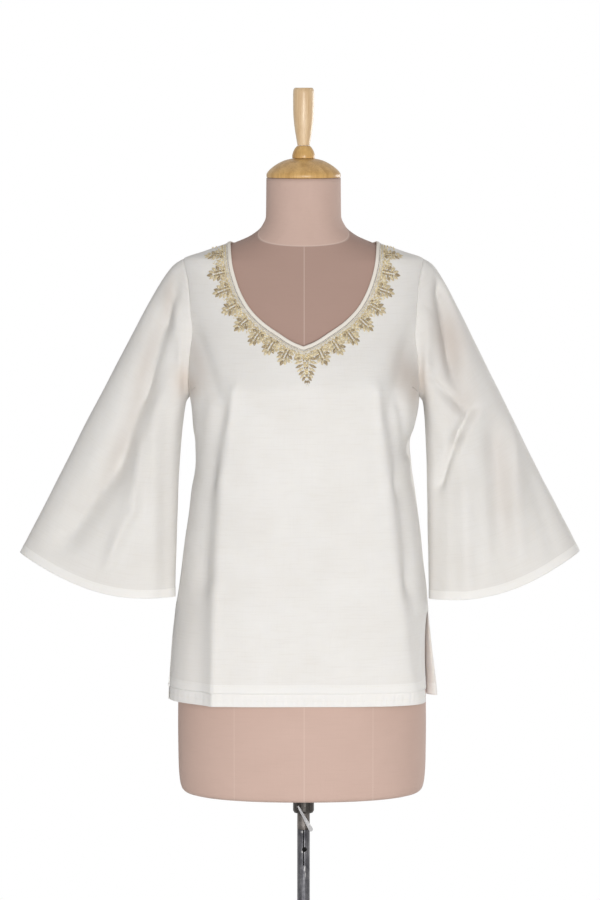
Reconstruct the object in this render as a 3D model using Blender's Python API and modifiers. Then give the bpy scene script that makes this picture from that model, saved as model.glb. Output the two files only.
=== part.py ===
"""Kurta tunic worn on a limbless dress form with a wood top, a steel pole and a round base.

Metres, +Z up. The front faces -Y and +X is the wearer's left.
The floor is z = 0 under the base disc. The cloth pieces are walls of one thickness,
bent through rings worked out from the garment's half widths and depths.
"""

import math

import bpy
import numpy as np

# Driving dimensions

CLOTH = 0.0016
GAP = 0.0004
HEM_Z = 0.7120
STRIP_TOP_Z = 0.7300
SLIT_TOP_Z = 0.8350
SLIT_DROP = SLIT_TOP_Z - HEM_Z
ARMPIT_Z = 1.1400
NECK_FRONT_Z = 1.2155
TIP_Z = 1.3320
BACK_NECK_Z = 1.3420
BINDING_WIDTH = 0.0055
BINDING_THICK = 0.0026
BORDER_FROM = 0.0072
BORDER_VALLEY = 0.0250
BORDER_TIP = 0.0340
BORDER_LEAVES = 8
BORDER_POINT = 0.0520
BORDER_THICK = 0.0011
REST = CLOTH / 2 + 0.0011
SIDE_GAP = 0.0007
EDGE_GAP_FRONT = 0.0008
EDGE_GAP_BACK = 0.0013
FORM_BOTTOM_Z = 0.5720
FORM_TOP_Z = 1.4462
POLE_RADIUS = 0.0090
BASE_RADIUS = 0.2000
BASE_THICK = 0.0080

# Body rings of the garment, from the hem to the shoulders, and on up the neck of the form
# half: half width. mid: centre in x. front, back: depth from the side seam's y.
# sf, sb: how square the ring is in front and behind (2 is an ellipse)

RING = ("z", "half", "mid", "front", "back", "sf", "sb")
GARMENT = (
    (0.7000, 0.1925, -0.0010, 0.1300, 0.1340, 4.2, 2.7),
    (0.7310, 0.1905, -0.0015, 0.1290, 0.1340, 4.1, 2.7),
    (0.7650, 0.1870, -0.0025, 0.1280, 0.1345, 4.0, 2.7),
    (0.7990, 0.1835, -0.0030, 0.1270, 0.1345, 3.9, 2.6),
    (0.8340, 0.1795, -0.0025, 0.1260, 0.1335, 3.8, 2.6),
    (0.8700, 0.1750, -0.0010, 0.1250, 0.1300, 3.7, 2.5),
    (0.9020, 0.1710, -0.0010, 0.1245, 0.1240, 3.6, 2.5),
    (0.9360, 0.1672, -0.0005, 0.1240, 0.1180, 3.5, 2.4),
    (0.9700, 0.1625, 0.0000, 0.1240, 0.1120, 3.4, 2.4),
    (1.0050, 0.1580, -0.0005, 0.1250, 0.1080, 3.3, 2.4),
    (1.0390, 0.1528, 0.0000, 0.1280, 0.1075, 3.2, 2.4),
    (1.0700, 0.1515, -0.0015, 0.1315, 0.1090, 3.1, 2.4),
    (1.0950, 0.1560, 0.0000, 0.1350, 0.1110, 3.0, 2.4),
    (1.1240, 0.1600, 0.0020, 0.1380, 0.1130, 2.9, 2.4),
    (1.1500, 0.1630, 0.0010, 0.1375, 0.1150, 2.8, 2.4),
    (1.1800, 0.1650, 0.0000, 0.1290, 0.1165, 2.6, 2.4),
    (1.2150, 0.1675, 0.0000, 0.1140, 0.1165, 2.4, 2.3),
    (1.2500, 0.1700, 0.0000, 0.0995, 0.1140, 2.2, 2.2),
    (1.2850, 0.1725, 0.0000, 0.0860, 0.1060, 2.1, 2.1),
    (1.3100, 0.1735, 0.0000, 0.0760, 0.0950, 2.0, 2.0),
    (1.3240, 0.1725, 0.0000, 0.0700, 0.0850, 2.0, 2.0),
    (1.3320, 0.1690, 0.0000, 0.0665, 0.0780, 2.0, 2.0),
    (1.3420, 0.1420, 0.0000, 0.0625, 0.0690, 2.0, 2.0),
    (1.3560, 0.1020, 0.0000, 0.0575, 0.0600, 2.0, 2.0),
    (1.3680, 0.0750, 0.0000, 0.0550, 0.0560, 2.0, 2.0),
    (1.3800, 0.0610, 0.0000, 0.0535, 0.0545, 2.0, 2.0),
    (1.3950, 0.0548, 0.0000, 0.0530, 0.0535, 2.0, 2.0),
    (1.4500, 0.0542, 0.0000, 0.0530, 0.0530, 2.0, 2.0),
)

# Rings of the torso below the shoulders. Above FORM_BLEND it follows the garment's rings, REST inside

FORM_BLEND = (1.2300, 1.2900)
FORM = (
    (0.5720, 0.1610, -0.0021, 0.0990, 0.1050, 2.2, 2.2),
    (0.5740, 0.1675, -0.0021, 0.1040, 0.1110, 2.2, 2.2),
    (0.5790, 0.1718, -0.0021, 0.1068, 0.1150, 2.2, 2.2),
    (0.5900, 0.1745, -0.0021, 0.1088, 0.1175, 2.2, 2.2),
    (0.6150, 0.1762, -0.0021, 0.1105, 0.1200, 2.2, 2.2),
    (0.6700, 0.1768, -0.0021, 0.1115, 0.1225, 2.2, 2.2),
    (0.7400, 0.1758, -0.0021, 0.1110, 0.1245, 2.2, 2.2),
    (0.8000, 0.1714, -0.0015, 0.1100, 0.1250, 2.2, 2.2),
    (0.8600, 0.1636, -0.0007, 0.1080, 0.1170, 2.2, 2.2),
    (0.9200, 0.1490, 0.0, 0.0990, 0.0980, 2.2, 2.2),
    (0.9800, 0.1340, 0.0, 0.0900, 0.0810, 2.2, 2.2),
    (1.0300, 0.1325, 0.0, 0.0900, 0.0790, 2.2, 2.2),
    (1.0800, 0.1410, 0.0, 0.1010, 0.0870, 2.2, 2.2),
    (1.1300, 0.1500, 0.0, 0.1180, 0.0960, 2.3, 2.2),
    (1.1700, 0.1560, 0.0, 0.1190, 0.1010, 2.3, 2.2),
    (1.2150, 0.1600, 0.0, 0.1070, 0.1060, 2.3, 2.2),
    (1.2600, 0.1650, 0.0, 0.0920, 0.1060, 2.2, 2.2),
    (1.3000, 0.1680, 0.0, 0.0780, 0.0950, 2.0, 2.0),
)

# Neckline of the front, half of it, from the point of the V to the shoulder: the binding's inner edge

NECKLINE = (
    (0.0000, 1.2155),
    (0.0160, 1.2222),
    (0.0325, 1.2325),
    (0.0580, 1.2500),
    (0.0775, 1.2710),
    (0.0915, 1.2985),
    (0.0999, 1.3300),
    (0.1025, 1.3560),
)

# Armhole, from the underarm (turn 0) to the shoulder tip (turn 1): how far forward and back it cuts in

ARMHOLE_FRONT_CUT = 0.20
ARMHOLE_BACK_CUT = 0.15

# Folds: a line from (x0, z0) to (x1, z1) as seen from the front, its width and its height (a trough below 0)

FOLD = ("x0", "z0", "x1", "z1", "width", "height")
FRONT_FOLDS = (
    (-0.0962, 1.1510, -0.1147, 1.0300, 0.0100, 0.0030),
    (-0.1147, 1.0300, -0.1240, 0.8700, 0.0100, 0.0028),
    (-0.1240, 0.8700, -0.1275, 0.7000, 0.0090, 0.0036),
    (0.1019, 1.1557, 0.1176, 1.0200, 0.0100, 0.0030),
    (0.1176, 1.0200, 0.1347, 0.8850, 0.0110, 0.0026),
    (0.1347, 0.8850, 0.1640, 0.7100, 0.0120, 0.0024),
    (0.1347, 1.1340, 0.1475, 1.0630, 0.0090, -0.0026),
    (-0.1540, 1.2370, -0.1270, 1.1600, 0.0120, -0.0035),
    (0.1480, 1.2200, 0.1300, 1.1550, 0.0120, -0.0032),
    (-0.0500, 1.0000, -0.0620, 0.7600, 0.0260, 0.0016),
    (0.0520, 0.9800, 0.0640, 0.7400, 0.0260, 0.0014),
)
BACK_FOLDS = (
    (-0.0900, 1.1300, -0.1050, 0.7800, 0.0160, 0.0030),
    (0.0900, 1.1300, 0.1080, 0.7800, 0.0160, 0.0030),
    (-0.0350, 1.0600, -0.0420, 0.7200, 0.0200, -0.0026),
    (0.0380, 1.0600, 0.0450, 0.7200, 0.0200, -0.0026),
    (-0.1400, 1.2200, -0.1200, 1.1200, 0.0130, -0.0030),
    (0.1400, 1.2200, 0.1200, 1.1200, 0.0130, -0.0030),
)
SLEEVE_RIGHT_FOLDS = (
    (-0.1700, 1.3050, -0.1880, 1.2620, 0.0075, -0.0032),
    (-0.1820, 1.2550, -0.1640, 1.1900, 0.0110, 0.0040),
    (-0.1980, 1.2400, -0.2200, 1.1520, 0.0130, -0.0046),
    (-0.2200, 1.1520, -0.2600, 1.0500, 0.0150, -0.0048),
    (-0.2600, 1.0500, -0.3300, 0.9500, 0.0180, -0.0040),
    (-0.2440, 1.0000, -0.2700, 0.9250, 0.0100, 0.0036),
    (-0.2100, 1.1000, -0.2150, 0.9000, 0.0150, 0.0030),
)
SLEEVE_LEFT_FOLDS = (
    (0.1960, 1.2800, 0.2090, 1.1750, 0.0130, -0.0042),
    (0.1720, 1.2500, 0.1710, 1.1750, 0.0100, 0.0036),
    (0.1860, 1.1550, 0.2180, 1.1300, 0.0080, -0.0034),
    (0.2370, 1.1200, 0.2150, 1.0830, 0.0080, -0.0034),
    (0.2150, 1.0830, 0.1900, 1.0200, 0.0090, -0.0032),
    (0.2700, 1.0700, 0.2760, 0.9450, 0.0170, -0.0042),
    (0.2270, 1.0100, 0.2320, 0.8800, 0.0130, 0.0040),
    (0.2970, 1.0600, 0.3050, 0.9300, 0.0120, 0.0030),
)

# Sleeves: the cuff's ends as seen from the front, its depth and droop, and the shift of each row

CUFF = ("outer_x", "outer_z", "inner_x", "inner_z", "deep", "droop")
CUFF_RIGHT = (0.4020, 0.9160, 0.1825, 0.8530, 0.0450, 0.0200)
CUFF_LEFT = (0.3915, 0.9180, 0.1785, 0.8500, 0.0440, 0.0200)
SLEEVE_DIRECTION = ("turn", "out", "forward", "down", "start", "end")
SLEEVE_DIRECTIONS = (
    (0.00, 0.45, 0.00, 0.89, 0.020, 0.150),
    (0.10, 0.50, 0.10, 0.86, 0.030, 0.170),
    (0.25, 0.72, 0.16, 0.67, 0.050, 0.260),
    (0.40, 0.88, 0.10, 0.46, 0.036, 0.350),
    (0.50, 0.93, 0.00, 0.36, 0.030, 0.395),
    (0.60, 0.88, -0.10, 0.46, 0.036, 0.350),
    (0.75, 0.72, -0.16, 0.67, 0.050, 0.260),
    (0.90, 0.50, -0.10, 0.86, 0.030, 0.170),
    (1.00, 0.45, 0.00, 0.89, 0.020, 0.150),
)
SLEEVE_ROWS = (0.0, 0.012, 0.03, 0.055, 0.085, 0.12, 0.16, 0.205, 0.255, 0.31, 0.37,
               0.435, 0.5, 0.57, 0.64, 0.71, 0.78, 0.85, 0.925, 1.0)
SLEEVE_COLUMNS = 26

# Colours: (red, green, blue), roughness, metallic

IVORY = ((0.80, 0.78, 0.73), 0.75, 0.0)
CREAM = ((0.78, 0.73, 0.64), 0.55, 0.0)
GOLD_THREAD = ((0.48, 0.35, 0.19), 0.5, 0.25)
LINEN = ((0.62, 0.45, 0.38), 0.9, 0.0)
HONEY_WOOD = ((0.55, 0.34, 0.16), 0.4, 0.0)
STEEL = ((0.32, 0.31, 0.30), 0.35, 0.9)
DARK_STEEL = ((0.08, 0.08, 0.08), 0.45, 0.6)
PALE_METAL = ((0.60, 0.60, 0.60), 0.35, 0.8)


def tangents(x, y):
    """Slopes that keep a curve through (x, y) monotone between its rows."""
    step = np.diff(y) / np.diff(x)
    slope = np.zeros(len(x))
    slope[0] = step[0]
    slope[-1] = step[-1]
    for i in range(1, len(x) - 1):
        if step[i - 1] * step[i] > 0:
            slope[i] = 2 * step[i - 1] * step[i] / (step[i - 1] + step[i])
    return slope


def curve_at(x, y, where):
    """Cubic Hermite curve through the rows of a table."""
    x = np.asarray(x, float)
    y = np.asarray(y, float)
    slope = tangents(x, y)
    where = np.clip(np.asarray(where, float), x[0], x[-1])
    i = np.clip(np.searchsorted(x, where, side="right") - 1, 0, len(x) - 2)
    width = x[i + 1] - x[i]
    t = (where - x[i]) / width
    a = (1 + 2 * t) * (1 - t) ** 2 * y[i]
    b = t * (1 - t) ** 2 * width * slope[i]
    c = t * t * (3 - 2 * t) * y[i + 1]
    d = t * t * (t - 1) * width * slope[i + 1]
    return a + b + c + d


def column(table, names, name, where):
    """One named column of a table at the values given for its first column."""
    rows = np.array(table)
    return curve_at(rows[:, 0], rows[:, names.index(name)], where)


def ramp(value, low, high):
    """Smooth step from 0 at low to 1 at high."""
    t = np.clip((value - low) / (high - low), 0, 1)
    return t * t * (3 - 2 * t)


# Rings

def side_edges(side, z):
    """Half width of a panel, the shift of its middle and the y of its side edges.

    Below the slits' tops the two panels part: the front is narrower on the wearer's left."""
    half = column(GARMENT, RING, "half", z)
    parted = np.clip((SLIT_TOP_Z - z) / SLIT_DROP, 0, 1) ** 0.6
    if side < 0:
        return half - 0.0103 * parted, -0.0082 * parted, -SIDE_GAP / 2 - 0.038 * parted
    return half, 0 * parted, SIDE_GAP / 2 + 0.010 * parted


def arc(side, z, samples=121):
    """Dense points of one panel's ring at each z, from -x to +x, with their distance along it."""
    z = np.atleast_1d(np.asarray(z, float))
    half, shift, edge = side_edges(side, z)
    mid = column(GARMENT, RING, "mid", z) + shift
    deep = column(GARMENT, RING, "front" if side < 0 else "back", z) - abs(edge)
    square = column(GARMENT, RING, "sf" if side < 0 else "sb", z)
    turn = np.linspace(-math.pi / 2, math.pi / 2, samples)
    power = (2 / square)[:, None]
    across = np.sign(np.sin(turn)) * np.abs(np.sin(turn)) ** power
    depth = np.abs(np.cos(turn)) ** power
    depth[:, 0] = 0
    depth[:, -1] = 0
    x = mid[:, None] + half[:, None] * across
    y = np.asarray(edge)[:, None] + side * deep[:, None] * depth
    steps = np.hypot(np.diff(x, axis=1), np.diff(y, axis=1))
    along = np.concatenate([np.zeros((len(z), 1)), np.cumsum(steps, axis=1)], axis=1)
    return x, y, along


def ring_point(side, s, z):
    """Points of a panel's middle surface: s runs from -1 at the -x side to +1 at the +x side."""
    s = np.clip(np.asarray(s, float), -1, 1)
    z = np.asarray(z, float)
    x, y, along = arc(side, z)
    points = np.zeros((len(z), 3))
    for i in range(len(z)):
        where = (s[i] + 1) / 2 * along[i, -1]
        points[i, 0] = np.interp(where, along[i], x[i])
        points[i, 1] = np.interp(where, along[i], y[i])
    points[:, 2] = z
    return points


def share_at(side, x, z):
    """The s of the point of the ring at z that has this x."""
    xs, _, along = arc(side, z)
    found = np.zeros(len(xs))
    for i in range(len(xs)):
        found[i] = 2 * np.interp(x[i], xs[i], along[i]) / along[i, -1] - 1
    return found


def unit(vectors):
    return vectors / np.maximum(np.linalg.norm(vectors, axis=-1, keepdims=True), 1e-12)


def ring_normal(side, s, z):
    """Outward normals of the ring surface, by small differences."""
    ds = 0.01
    dz = 0.002
    s0 = np.clip(s - ds, -1, 1)
    s1 = np.clip(s + ds, -1, 1)
    along = ring_point(side, s1, z) - ring_point(side, s0, z)
    top = np.minimum(z + dz, 1.449)
    up = ring_point(side, s, top) - ring_point(side, s, top - 2 * dz)
    return unit(np.cross(along, up)) * (1 if side < 0 else -1)


def fold_height(folds, points):
    """Sum of the folds at the points, by their distance to each fold's line as seen from the front."""
    total = np.zeros(len(points))
    for row in folds:
        fold = dict(zip(FOLD, row))
        start = np.array([fold["x0"], fold["z0"]])
        run = np.array([fold["x1"], fold["z1"]]) - start
        length = np.linalg.norm(run)
        run = run / length
        away = points[:, [0, 2]] - start
        along = away @ run
        beyond = np.maximum(np.maximum(-along, along - length), 0) * 0.6
        aside = away[:, 0] * run[1] - away[:, 1] * run[0]
        distance = np.hypot(aside, beyond)
        total += fold["height"] * np.exp(-((distance / fold["width"]) ** 2))
    return total


def panel_point(side, s, z):
    """Points of a panel with its folds."""
    points = ring_point(side, s, z)
    normals = ring_normal(side, s, z)
    folds = FRONT_FOLDS if side < 0 else BACK_FOLDS
    calm = 1 - ramp(z, 1.22, 1.27)
    calm = calm * (1 - ramp(np.abs(s), 0.955, 1.0) * ramp(z, 0.80, 0.86))
    return points + normals * (fold_height(folds, points) * calm)[:, None]


def panel_normal(side, s, z):
    ds = 0.006
    dz = 0.0015
    along = panel_point(side, np.clip(s + ds, -1, 1), z) - panel_point(side, np.clip(s - ds, -1, 1), z)
    top = np.minimum(z + dz, 1.449)
    up = panel_point(side, s, top) - panel_point(side, s, top - 2 * dz)
    return unit(np.cross(along, up)) * (1 if side < 0 else -1)


# Neckline and armhole in the ring's own terms

def neckline_xz(t):
    """Half the front neckline as seen from the front, t from 0 at the V's point to 1 at the shoulder."""
    rows = np.array(NECKLINE)
    steps = np.hypot(*np.diff(rows, axis=0).T)
    along = np.concatenate([[0], np.cumsum(steps)]) / steps.sum()
    return curve_at(along, rows[:, 0], t), curve_at(along, rows[:, 1], t)


def neckline_length():
    rows = np.array(NECKLINE)
    return np.hypot(*np.diff(rows, axis=0).T).sum()


def neckline_moved(t, out):
    """The neckline moved outward, as seen from the front, by the distance out."""
    t = np.asarray(t, float)
    x, z = neckline_xz(t)
    x0, z0 = neckline_xz(np.clip(t - 0.02, 0, 1))
    x1, z1 = neckline_xz(np.clip(t + 0.02, 0, 1))
    run = unit(np.stack([x1 - x0, z1 - z0], axis=1))
    straight = 1 - ramp(t, 0.0, 0.09)
    aside = run[:, 1] * (1 - straight)
    down = -run[:, 0] * (1 - straight) - straight
    size = np.hypot(aside, down)
    return x + out * aside / size, z + out * down / size


def neckline_share(side, t, out):
    """(s, z) along the half neckline of the front (side -1) or the back (side 1), moved outward."""
    t = np.asarray(t, float)
    out = np.broadcast_to(np.asarray(out, float), t.shape)
    if side < 0:
        x, z = neckline_moved(t, out)
    else:
        x = (NECKLINE[-1][0] + out) * np.sin(t * math.pi / 2)
        top = NECKLINE[-1][1]
        z = top - (top - BACK_NECK_Z) * np.cos(t * math.pi / 2) ** 1.3 - out * np.cos(t * math.pi / 2)
    rings = np.array(GARMENT)
    high = rings[(rings[:, 0] > 1.325) & (rings[:, 0] < 1.385)]
    ridge = curve_at(high[::-1, 1], high[::-1, 0], np.clip(x, 0.061, 0.172))
    z = np.minimum(z, ridge)
    s = share_at(side, x, z)
    return np.where((t > 0.9999) | (z > ridge - 1e-6), 1.0, s), z


def armhole_share(side, t):
    """(s, z) along the armhole, t from 0 at the underarm to 1 at the shoulder tip."""
    t = np.asarray(t, float)
    cut = ARMHOLE_FRONT_CUT if side < 0 else ARMHOLE_BACK_CUT
    s = 1 - cut * np.sin(math.pi * t) ** 0.85
    z = ARMPIT_Z + (TIP_Z - ARMPIT_Z) * (1 - np.cos(math.pi * t)) / 2
    return s, z


# Blender objects

def clear_scene():
    for item in list(bpy.data.objects):
        bpy.data.objects.remove(item, do_unlink=True)


def new_collection(name):
    made = bpy.data.collections.new(name)
    bpy.context.scene.collection.children.link(made)
    return made


def material_for(name, look):
    colour, roughness, metallic = look
    made = bpy.data.materials.new(name)
    made.use_nodes = True
    shader = made.node_tree.nodes["Principled BSDF"]
    shader.inputs["Base Color"].default_value = (*colour, 1.0)
    shader.inputs["Roughness"].default_value = roughness
    shader.inputs["Metallic"].default_value = metallic
    made.diffuse_color = (*colour, 1.0)
    return made


def add_object(name, points, faces, look, home):
    mesh = bpy.data.meshes.new(name)
    mesh.from_pydata([tuple(map(float, p)) for p in points], [], faces)
    mesh.validate()
    mesh.update()
    item = bpy.data.objects.new(name, mesh)
    home.objects.link(item)
    mesh.materials.append(material_for(name, look))
    return item


def thicken(item, thickness):
    """Give a sheet its wall, half to each side, with closed edges."""
    wall = item.modifiers.new("Wall", "SOLIDIFY")
    wall.thickness = thickness
    wall.offset = 0.0
    wall.use_even_offset = False
    wall.use_rim = True
    return wall


class Sheet:
    """Points and faces of a sheet, with rows of points joined into four-sided faces."""

    def __init__(self):
        self.points = []
        self.faces = []

    def add_row(self, row):
        start = len(self.points)
        self.points.extend(row)
        return list(range(start, start + len(row)))

    def join_rows(self, lower, upper, around=False, turned=False):
        count = len(lower)
        last = count if around else count - 1
        for i in range(last):
            j = (i + 1) % count
            face = (lower[i], lower[j], upper[j], upper[i])
            self.faces.append(face[::-1] if turned else face)


# Panels

def edge_gap(side):
    return EDGE_GAP_FRONT if side < 0 else EDGE_GAP_BACK


def panel_sheet(side, columns_half, rows_low, rows_high, bottom_z, bend):
    """A whole panel: full rows up to the line from armpit to neck, then a half on each side of the neck."""
    sheet = Sheet()
    full = np.linspace(-1, 1, 2 * columns_half + 1)
    neck_t = np.zeros(1)
    neck_s, neck_z = neckline_share(side, neck_t, BINDING_WIDTH + edge_gap(side))
    low_z = float(neck_z[0])
    crest = ARMPIT_Z + (low_z - ARMPIT_Z) * (1 - np.abs(full) ** 1.7) ** bend
    rows = []
    for share in np.linspace(0, 1, rows_low + 1):
        z = bottom_z + (crest - bottom_z) * share
        rows.append(sheet.add_row(list(panel_point(side, full, z))))
    for lower, upper in zip(rows, rows[1:]):
        sheet.join_rows(lower, upper, turned=side > 0)
    top = rows[-1]
    across = np.linspace(0, 1, columns_half + 1)
    for hand in (-1, 1):
        before = top[columns_half::-1] if hand < 0 else top[columns_half:]
        for even in np.linspace(0, 1, rows_high + 1)[1:]:
            share = 1 - (1 - even) ** 1.5
            neck_s, neck_z = neckline_share(side, np.array([share]), BINDING_WIDTH + edge_gap(side))
            arm_s, arm_z = armhole_share(side, np.array([share]))
            s = neck_s[0] + (arm_s[0] - neck_s[0]) * across
            z = neck_z[0] + (arm_z[0] - neck_z[0]) * across
            first = crest[columns_half:]
            sag = first - (crest[columns_half] + (crest[-1] - crest[columns_half]) * across)
            z = z + sag * (1 - share) ** 2
            row = sheet.add_row(list(panel_point(side, hand * s, z)))
            sheet.join_rows(before, row, turned=(hand < 0) != (side > 0))
            before = row
    return sheet


def hem_strip_sheet(columns):
    """The under-layer's strip below the front hem, set back a little from the panel."""
    sheet = Sheet()
    s = np.linspace(-0.985, 0.985, columns)
    rows = []
    for z0 in np.linspace(HEM_Z, STRIP_TOP_Z - GAP, 3):
        z = np.full(columns, z0)
        back = 0.0003 + 0.0013 * ramp(s, -0.6, 0.1)
        ripple = 0.0005 * np.sin(s * 64) * ramp(STRIP_TOP_Z - z, 0.0, 0.012)
        moved = panel_point(-1, s, z) - panel_normal(-1, s, z) * (back - ripple)[:, None]
        rows.append(sheet.add_row(list(moved)))
    for lower, upper in zip(rows, rows[1:]):
        sheet.join_rows(lower, upper)
    return sheet


# Sleeves

def armhole_loop(hand, turns):
    """Points of the armhole round its whole loop: turn 0 at the underarm, 0.5 at the tip, 1 back again."""
    points = []
    for turn in turns:
        side = -1 if turn <= 0.5 else 1
        t = turn * 2 if turn <= 0.5 else (1 - turn) * 2
        s, z = armhole_share(side, np.array([t]))
        points.append(panel_point(side, hand * s, z)[0])
    return np.array(points)


def sleeve_grid(hand, cuff_row, folds, turns, shares):
    """Rows of a sleeve's middle surface, from the armhole to the cuff."""
    cuff = dict(zip(CUFF, cuff_row))
    start = armhole_loop(hand, turns)
    way = {name: column(SLEEVE_DIRECTIONS, SLEEVE_DIRECTION, name, turns) for name in SLEEVE_DIRECTION}
    out = unit(np.stack([hand * way["out"], -way["forward"], -way["down"]], axis=1))
    low = np.cos(math.pi * turns) ** 2
    behind = np.where(turns > 0.5, np.sin(math.pi * turns) ** 2, 0.0)
    start = start + np.stack([hand * (0.0004 + 0.0024 * low ** 2 + 0.0003 * behind), 0 * low, 0 * low], axis=1)
    start = start + out * 0.0009
    angle = 2 * math.pi * turns
    outward = (1 - np.cos(angle)) / 2
    end = np.stack(
        [
            hand * (cuff["inner_x"] + (cuff["outer_x"] - cuff["inner_x"]) * outward),
            -0.006 - cuff["deep"] * np.sin(angle),
            cuff["inner_z"] + (cuff["outer_z"] - cuff["inner_z"]) * outward
            - cuff["droop"] * np.sin(math.pi * outward),
        ],
        axis=1,
    )
    slant = 0.02 + 0.50 * outward
    arrive = unit(np.stack([hand * slant, 0 * slant, -np.ones(len(turns))], axis=1))
    first = start + out * way["start"][:, None]
    second = end - arrive * way["end"][:, None]
    t = np.linspace(0, 1, 81)[:, None, None]
    dense = start * (1 - t) ** 3 + 3 * first * t * (1 - t) ** 2 + 3 * second * t * t * (1 - t) + end * t ** 3
    grid = np.zeros((len(shares), len(turns), 3))
    for j in range(len(turns)):
        steps = np.linalg.norm(np.diff(dense[:, j], axis=0), axis=1)
        along = np.concatenate([[0], np.cumsum(steps)])
        for k in range(3):
            grid[:, j, k] = np.interp(np.array(shares) * along[-1], along, dense[:, j, k])
    around = np.roll(grid, -1, axis=1) - np.roll(grid, 1, axis=1)
    down = np.gradient(grid, axis=0)
    normals = unit(np.cross(around, down)) * -hand
    flat = grid.reshape(-1, 3)
    faces_front = ramp(-normals.reshape(-1, 3)[:, 1], 0.15, 0.75)
    faces_back = ramp(normals.reshape(-1, 3)[:, 1], 0.15, 0.75)
    settle = np.repeat(ramp(np.array(shares), 0.0, 0.09), len(turns))
    height = fold_height(folds, flat) * (faces_front + 0.7 * faces_back) * settle
    return grid + normals * height.reshape(len(shares), len(turns))[:, :, None]


def sleeve_sheet(hand, cuff_row, folds):
    sheet = Sheet()
    turns = np.arange(SLEEVE_COLUMNS) / SLEEVE_COLUMNS
    grid = sleeve_grid(hand, cuff_row, folds, turns, SLEEVE_ROWS)
    rows = [sheet.add_row(list(row)) for row in grid]
    for upper, lower in zip(rows, rows[1:]):
        sheet.join_rows(lower, upper, around=True, turned=hand < 0)
    return sheet


# Neck binding and embroidered border

def neck_loop(count_front, count_back, out):
    """The whole neck opening as a closed loop, with the surface's normal at each point."""
    points = []
    normals = []
    even = np.linspace(-1, 1, 2 * count_front + 1)
    front = np.sign(even) * (1 - (1 - np.abs(even)) ** 1.35)
    for t in front:
        s, z = neckline_share(-1, np.array([abs(t)]), out)
        s = s * (-1 if t < 0 else 1)
        points.append(panel_point(-1, s, z)[0])
        normals.append(panel_normal(-1, np.clip(s, -0.98, 0.98), z)[0])
    back = np.linspace(1, -1, 2 * count_back + 1)[1:-1]
    for t in back:
        s, z = neckline_share(1, np.array([abs(t)]), out)
        s = s * (-1 if t < 0 else 1)
        points.append(panel_point(1, s, z)[0])
        normals.append(panel_normal(1, np.clip(s, -0.98, 0.98), z)[0])
    return np.array(points), unit(np.array(normals))


def smoothed(values, passes):
    for _ in range(passes):
        values = (np.roll(values, 1, axis=0) + 2 * values + np.roll(values, -1, axis=0)) / 4
    return values


def binding_sheet():
    """A rounded strip swept round the neck opening."""
    points, normals = neck_loop(21, 11, BINDING_WIDTH / 2)
    normals = unit(smoothed(normals, 3))
    run = unit(np.roll(points, -1, axis=0) - np.roll(points, 1, axis=0))
    across = unit(np.cross(normals, run))
    lift = np.cross(run, across)
    sheet = Sheet()
    rows = []
    corners = ((-0.5, -0.35), (0.0, -0.5), (0.5, -0.35), (0.5, 0.20), (0.25, 0.5), (-0.25, 0.5), (-0.5, 0.20))
    middle = points + normals * (BINDING_THICK - CLOTH) / 2
    for wide, high in corners:
        ring = middle + across * wide * (BINDING_WIDTH - 0.0003) + lift * high * BINDING_THICK
        rows.append(sheet.add_row(list(ring)))
    for lower, upper in zip(rows, rows[1:] + rows[:1]):
        sheet.join_rows(lower, upper, around=True, turned=True)
    return sheet


def border_width(t):
    """How far the embroidery reaches from the neckline: a row of leaf tips and a long one at the V."""
    t = np.abs(t)
    centre = 0.055
    place = np.clip((t - centre) / (1 - centre), 0, 1) * BORDER_LEAVES
    share = place - np.floor(place)
    share = np.where(t >= 1, 0.0, share)
    leaf = 1 - np.abs(2 * share - 1) ** 1.5
    width = BORDER_VALLEY + (BORDER_TIP - BORDER_VALLEY) * leaf
    long_leaf = BORDER_VALLEY + (BORDER_POINT - BORDER_VALLEY) * np.clip(1 - t / centre, 0, 1) ** 0.8
    return np.where(t < centre, long_leaf, width)


def border_sheet():
    """The embroidered border, lying on the front panel: its points are the panel's, moved out."""
    sheet = Sheet()
    half = [0.0, 0.018, 0.036, 0.055]
    for leaf in range(BORDER_LEAVES):
        for share in (0.25, 0.5, 0.75, 1.0):
            half.append(0.055 + (leaf + share) / BORDER_LEAVES * (0.978 - 0.055))
    half = np.array(half)
    t = np.concatenate([-half[:0:-1], half])
    reach = border_width(t)
    rows = []
    for share in (0.0, 0.55, 1.0):
        out = BORDER_FROM + (reach - BORDER_FROM) * share
        s, z = neckline_share(-1, np.abs(t), out)
        s = np.clip(s, 0, 0.985) * np.sign(t)
        rise = CLOTH / 2 + GAP + 0.0004 + BORDER_THICK / 2 + 0.0016 * ramp(np.abs(t), 0.76, 0.9)
        lifted = panel_point(-1, s, z) + panel_normal(-1, s, z) * rise[:, None]
        rows.append(sheet.add_row(list(lifted)))
    for lower, upper in zip(rows, rows[1:]):
        sheet.join_rows(lower, upper, turned=True)
    return sheet


# Dress form

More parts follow.
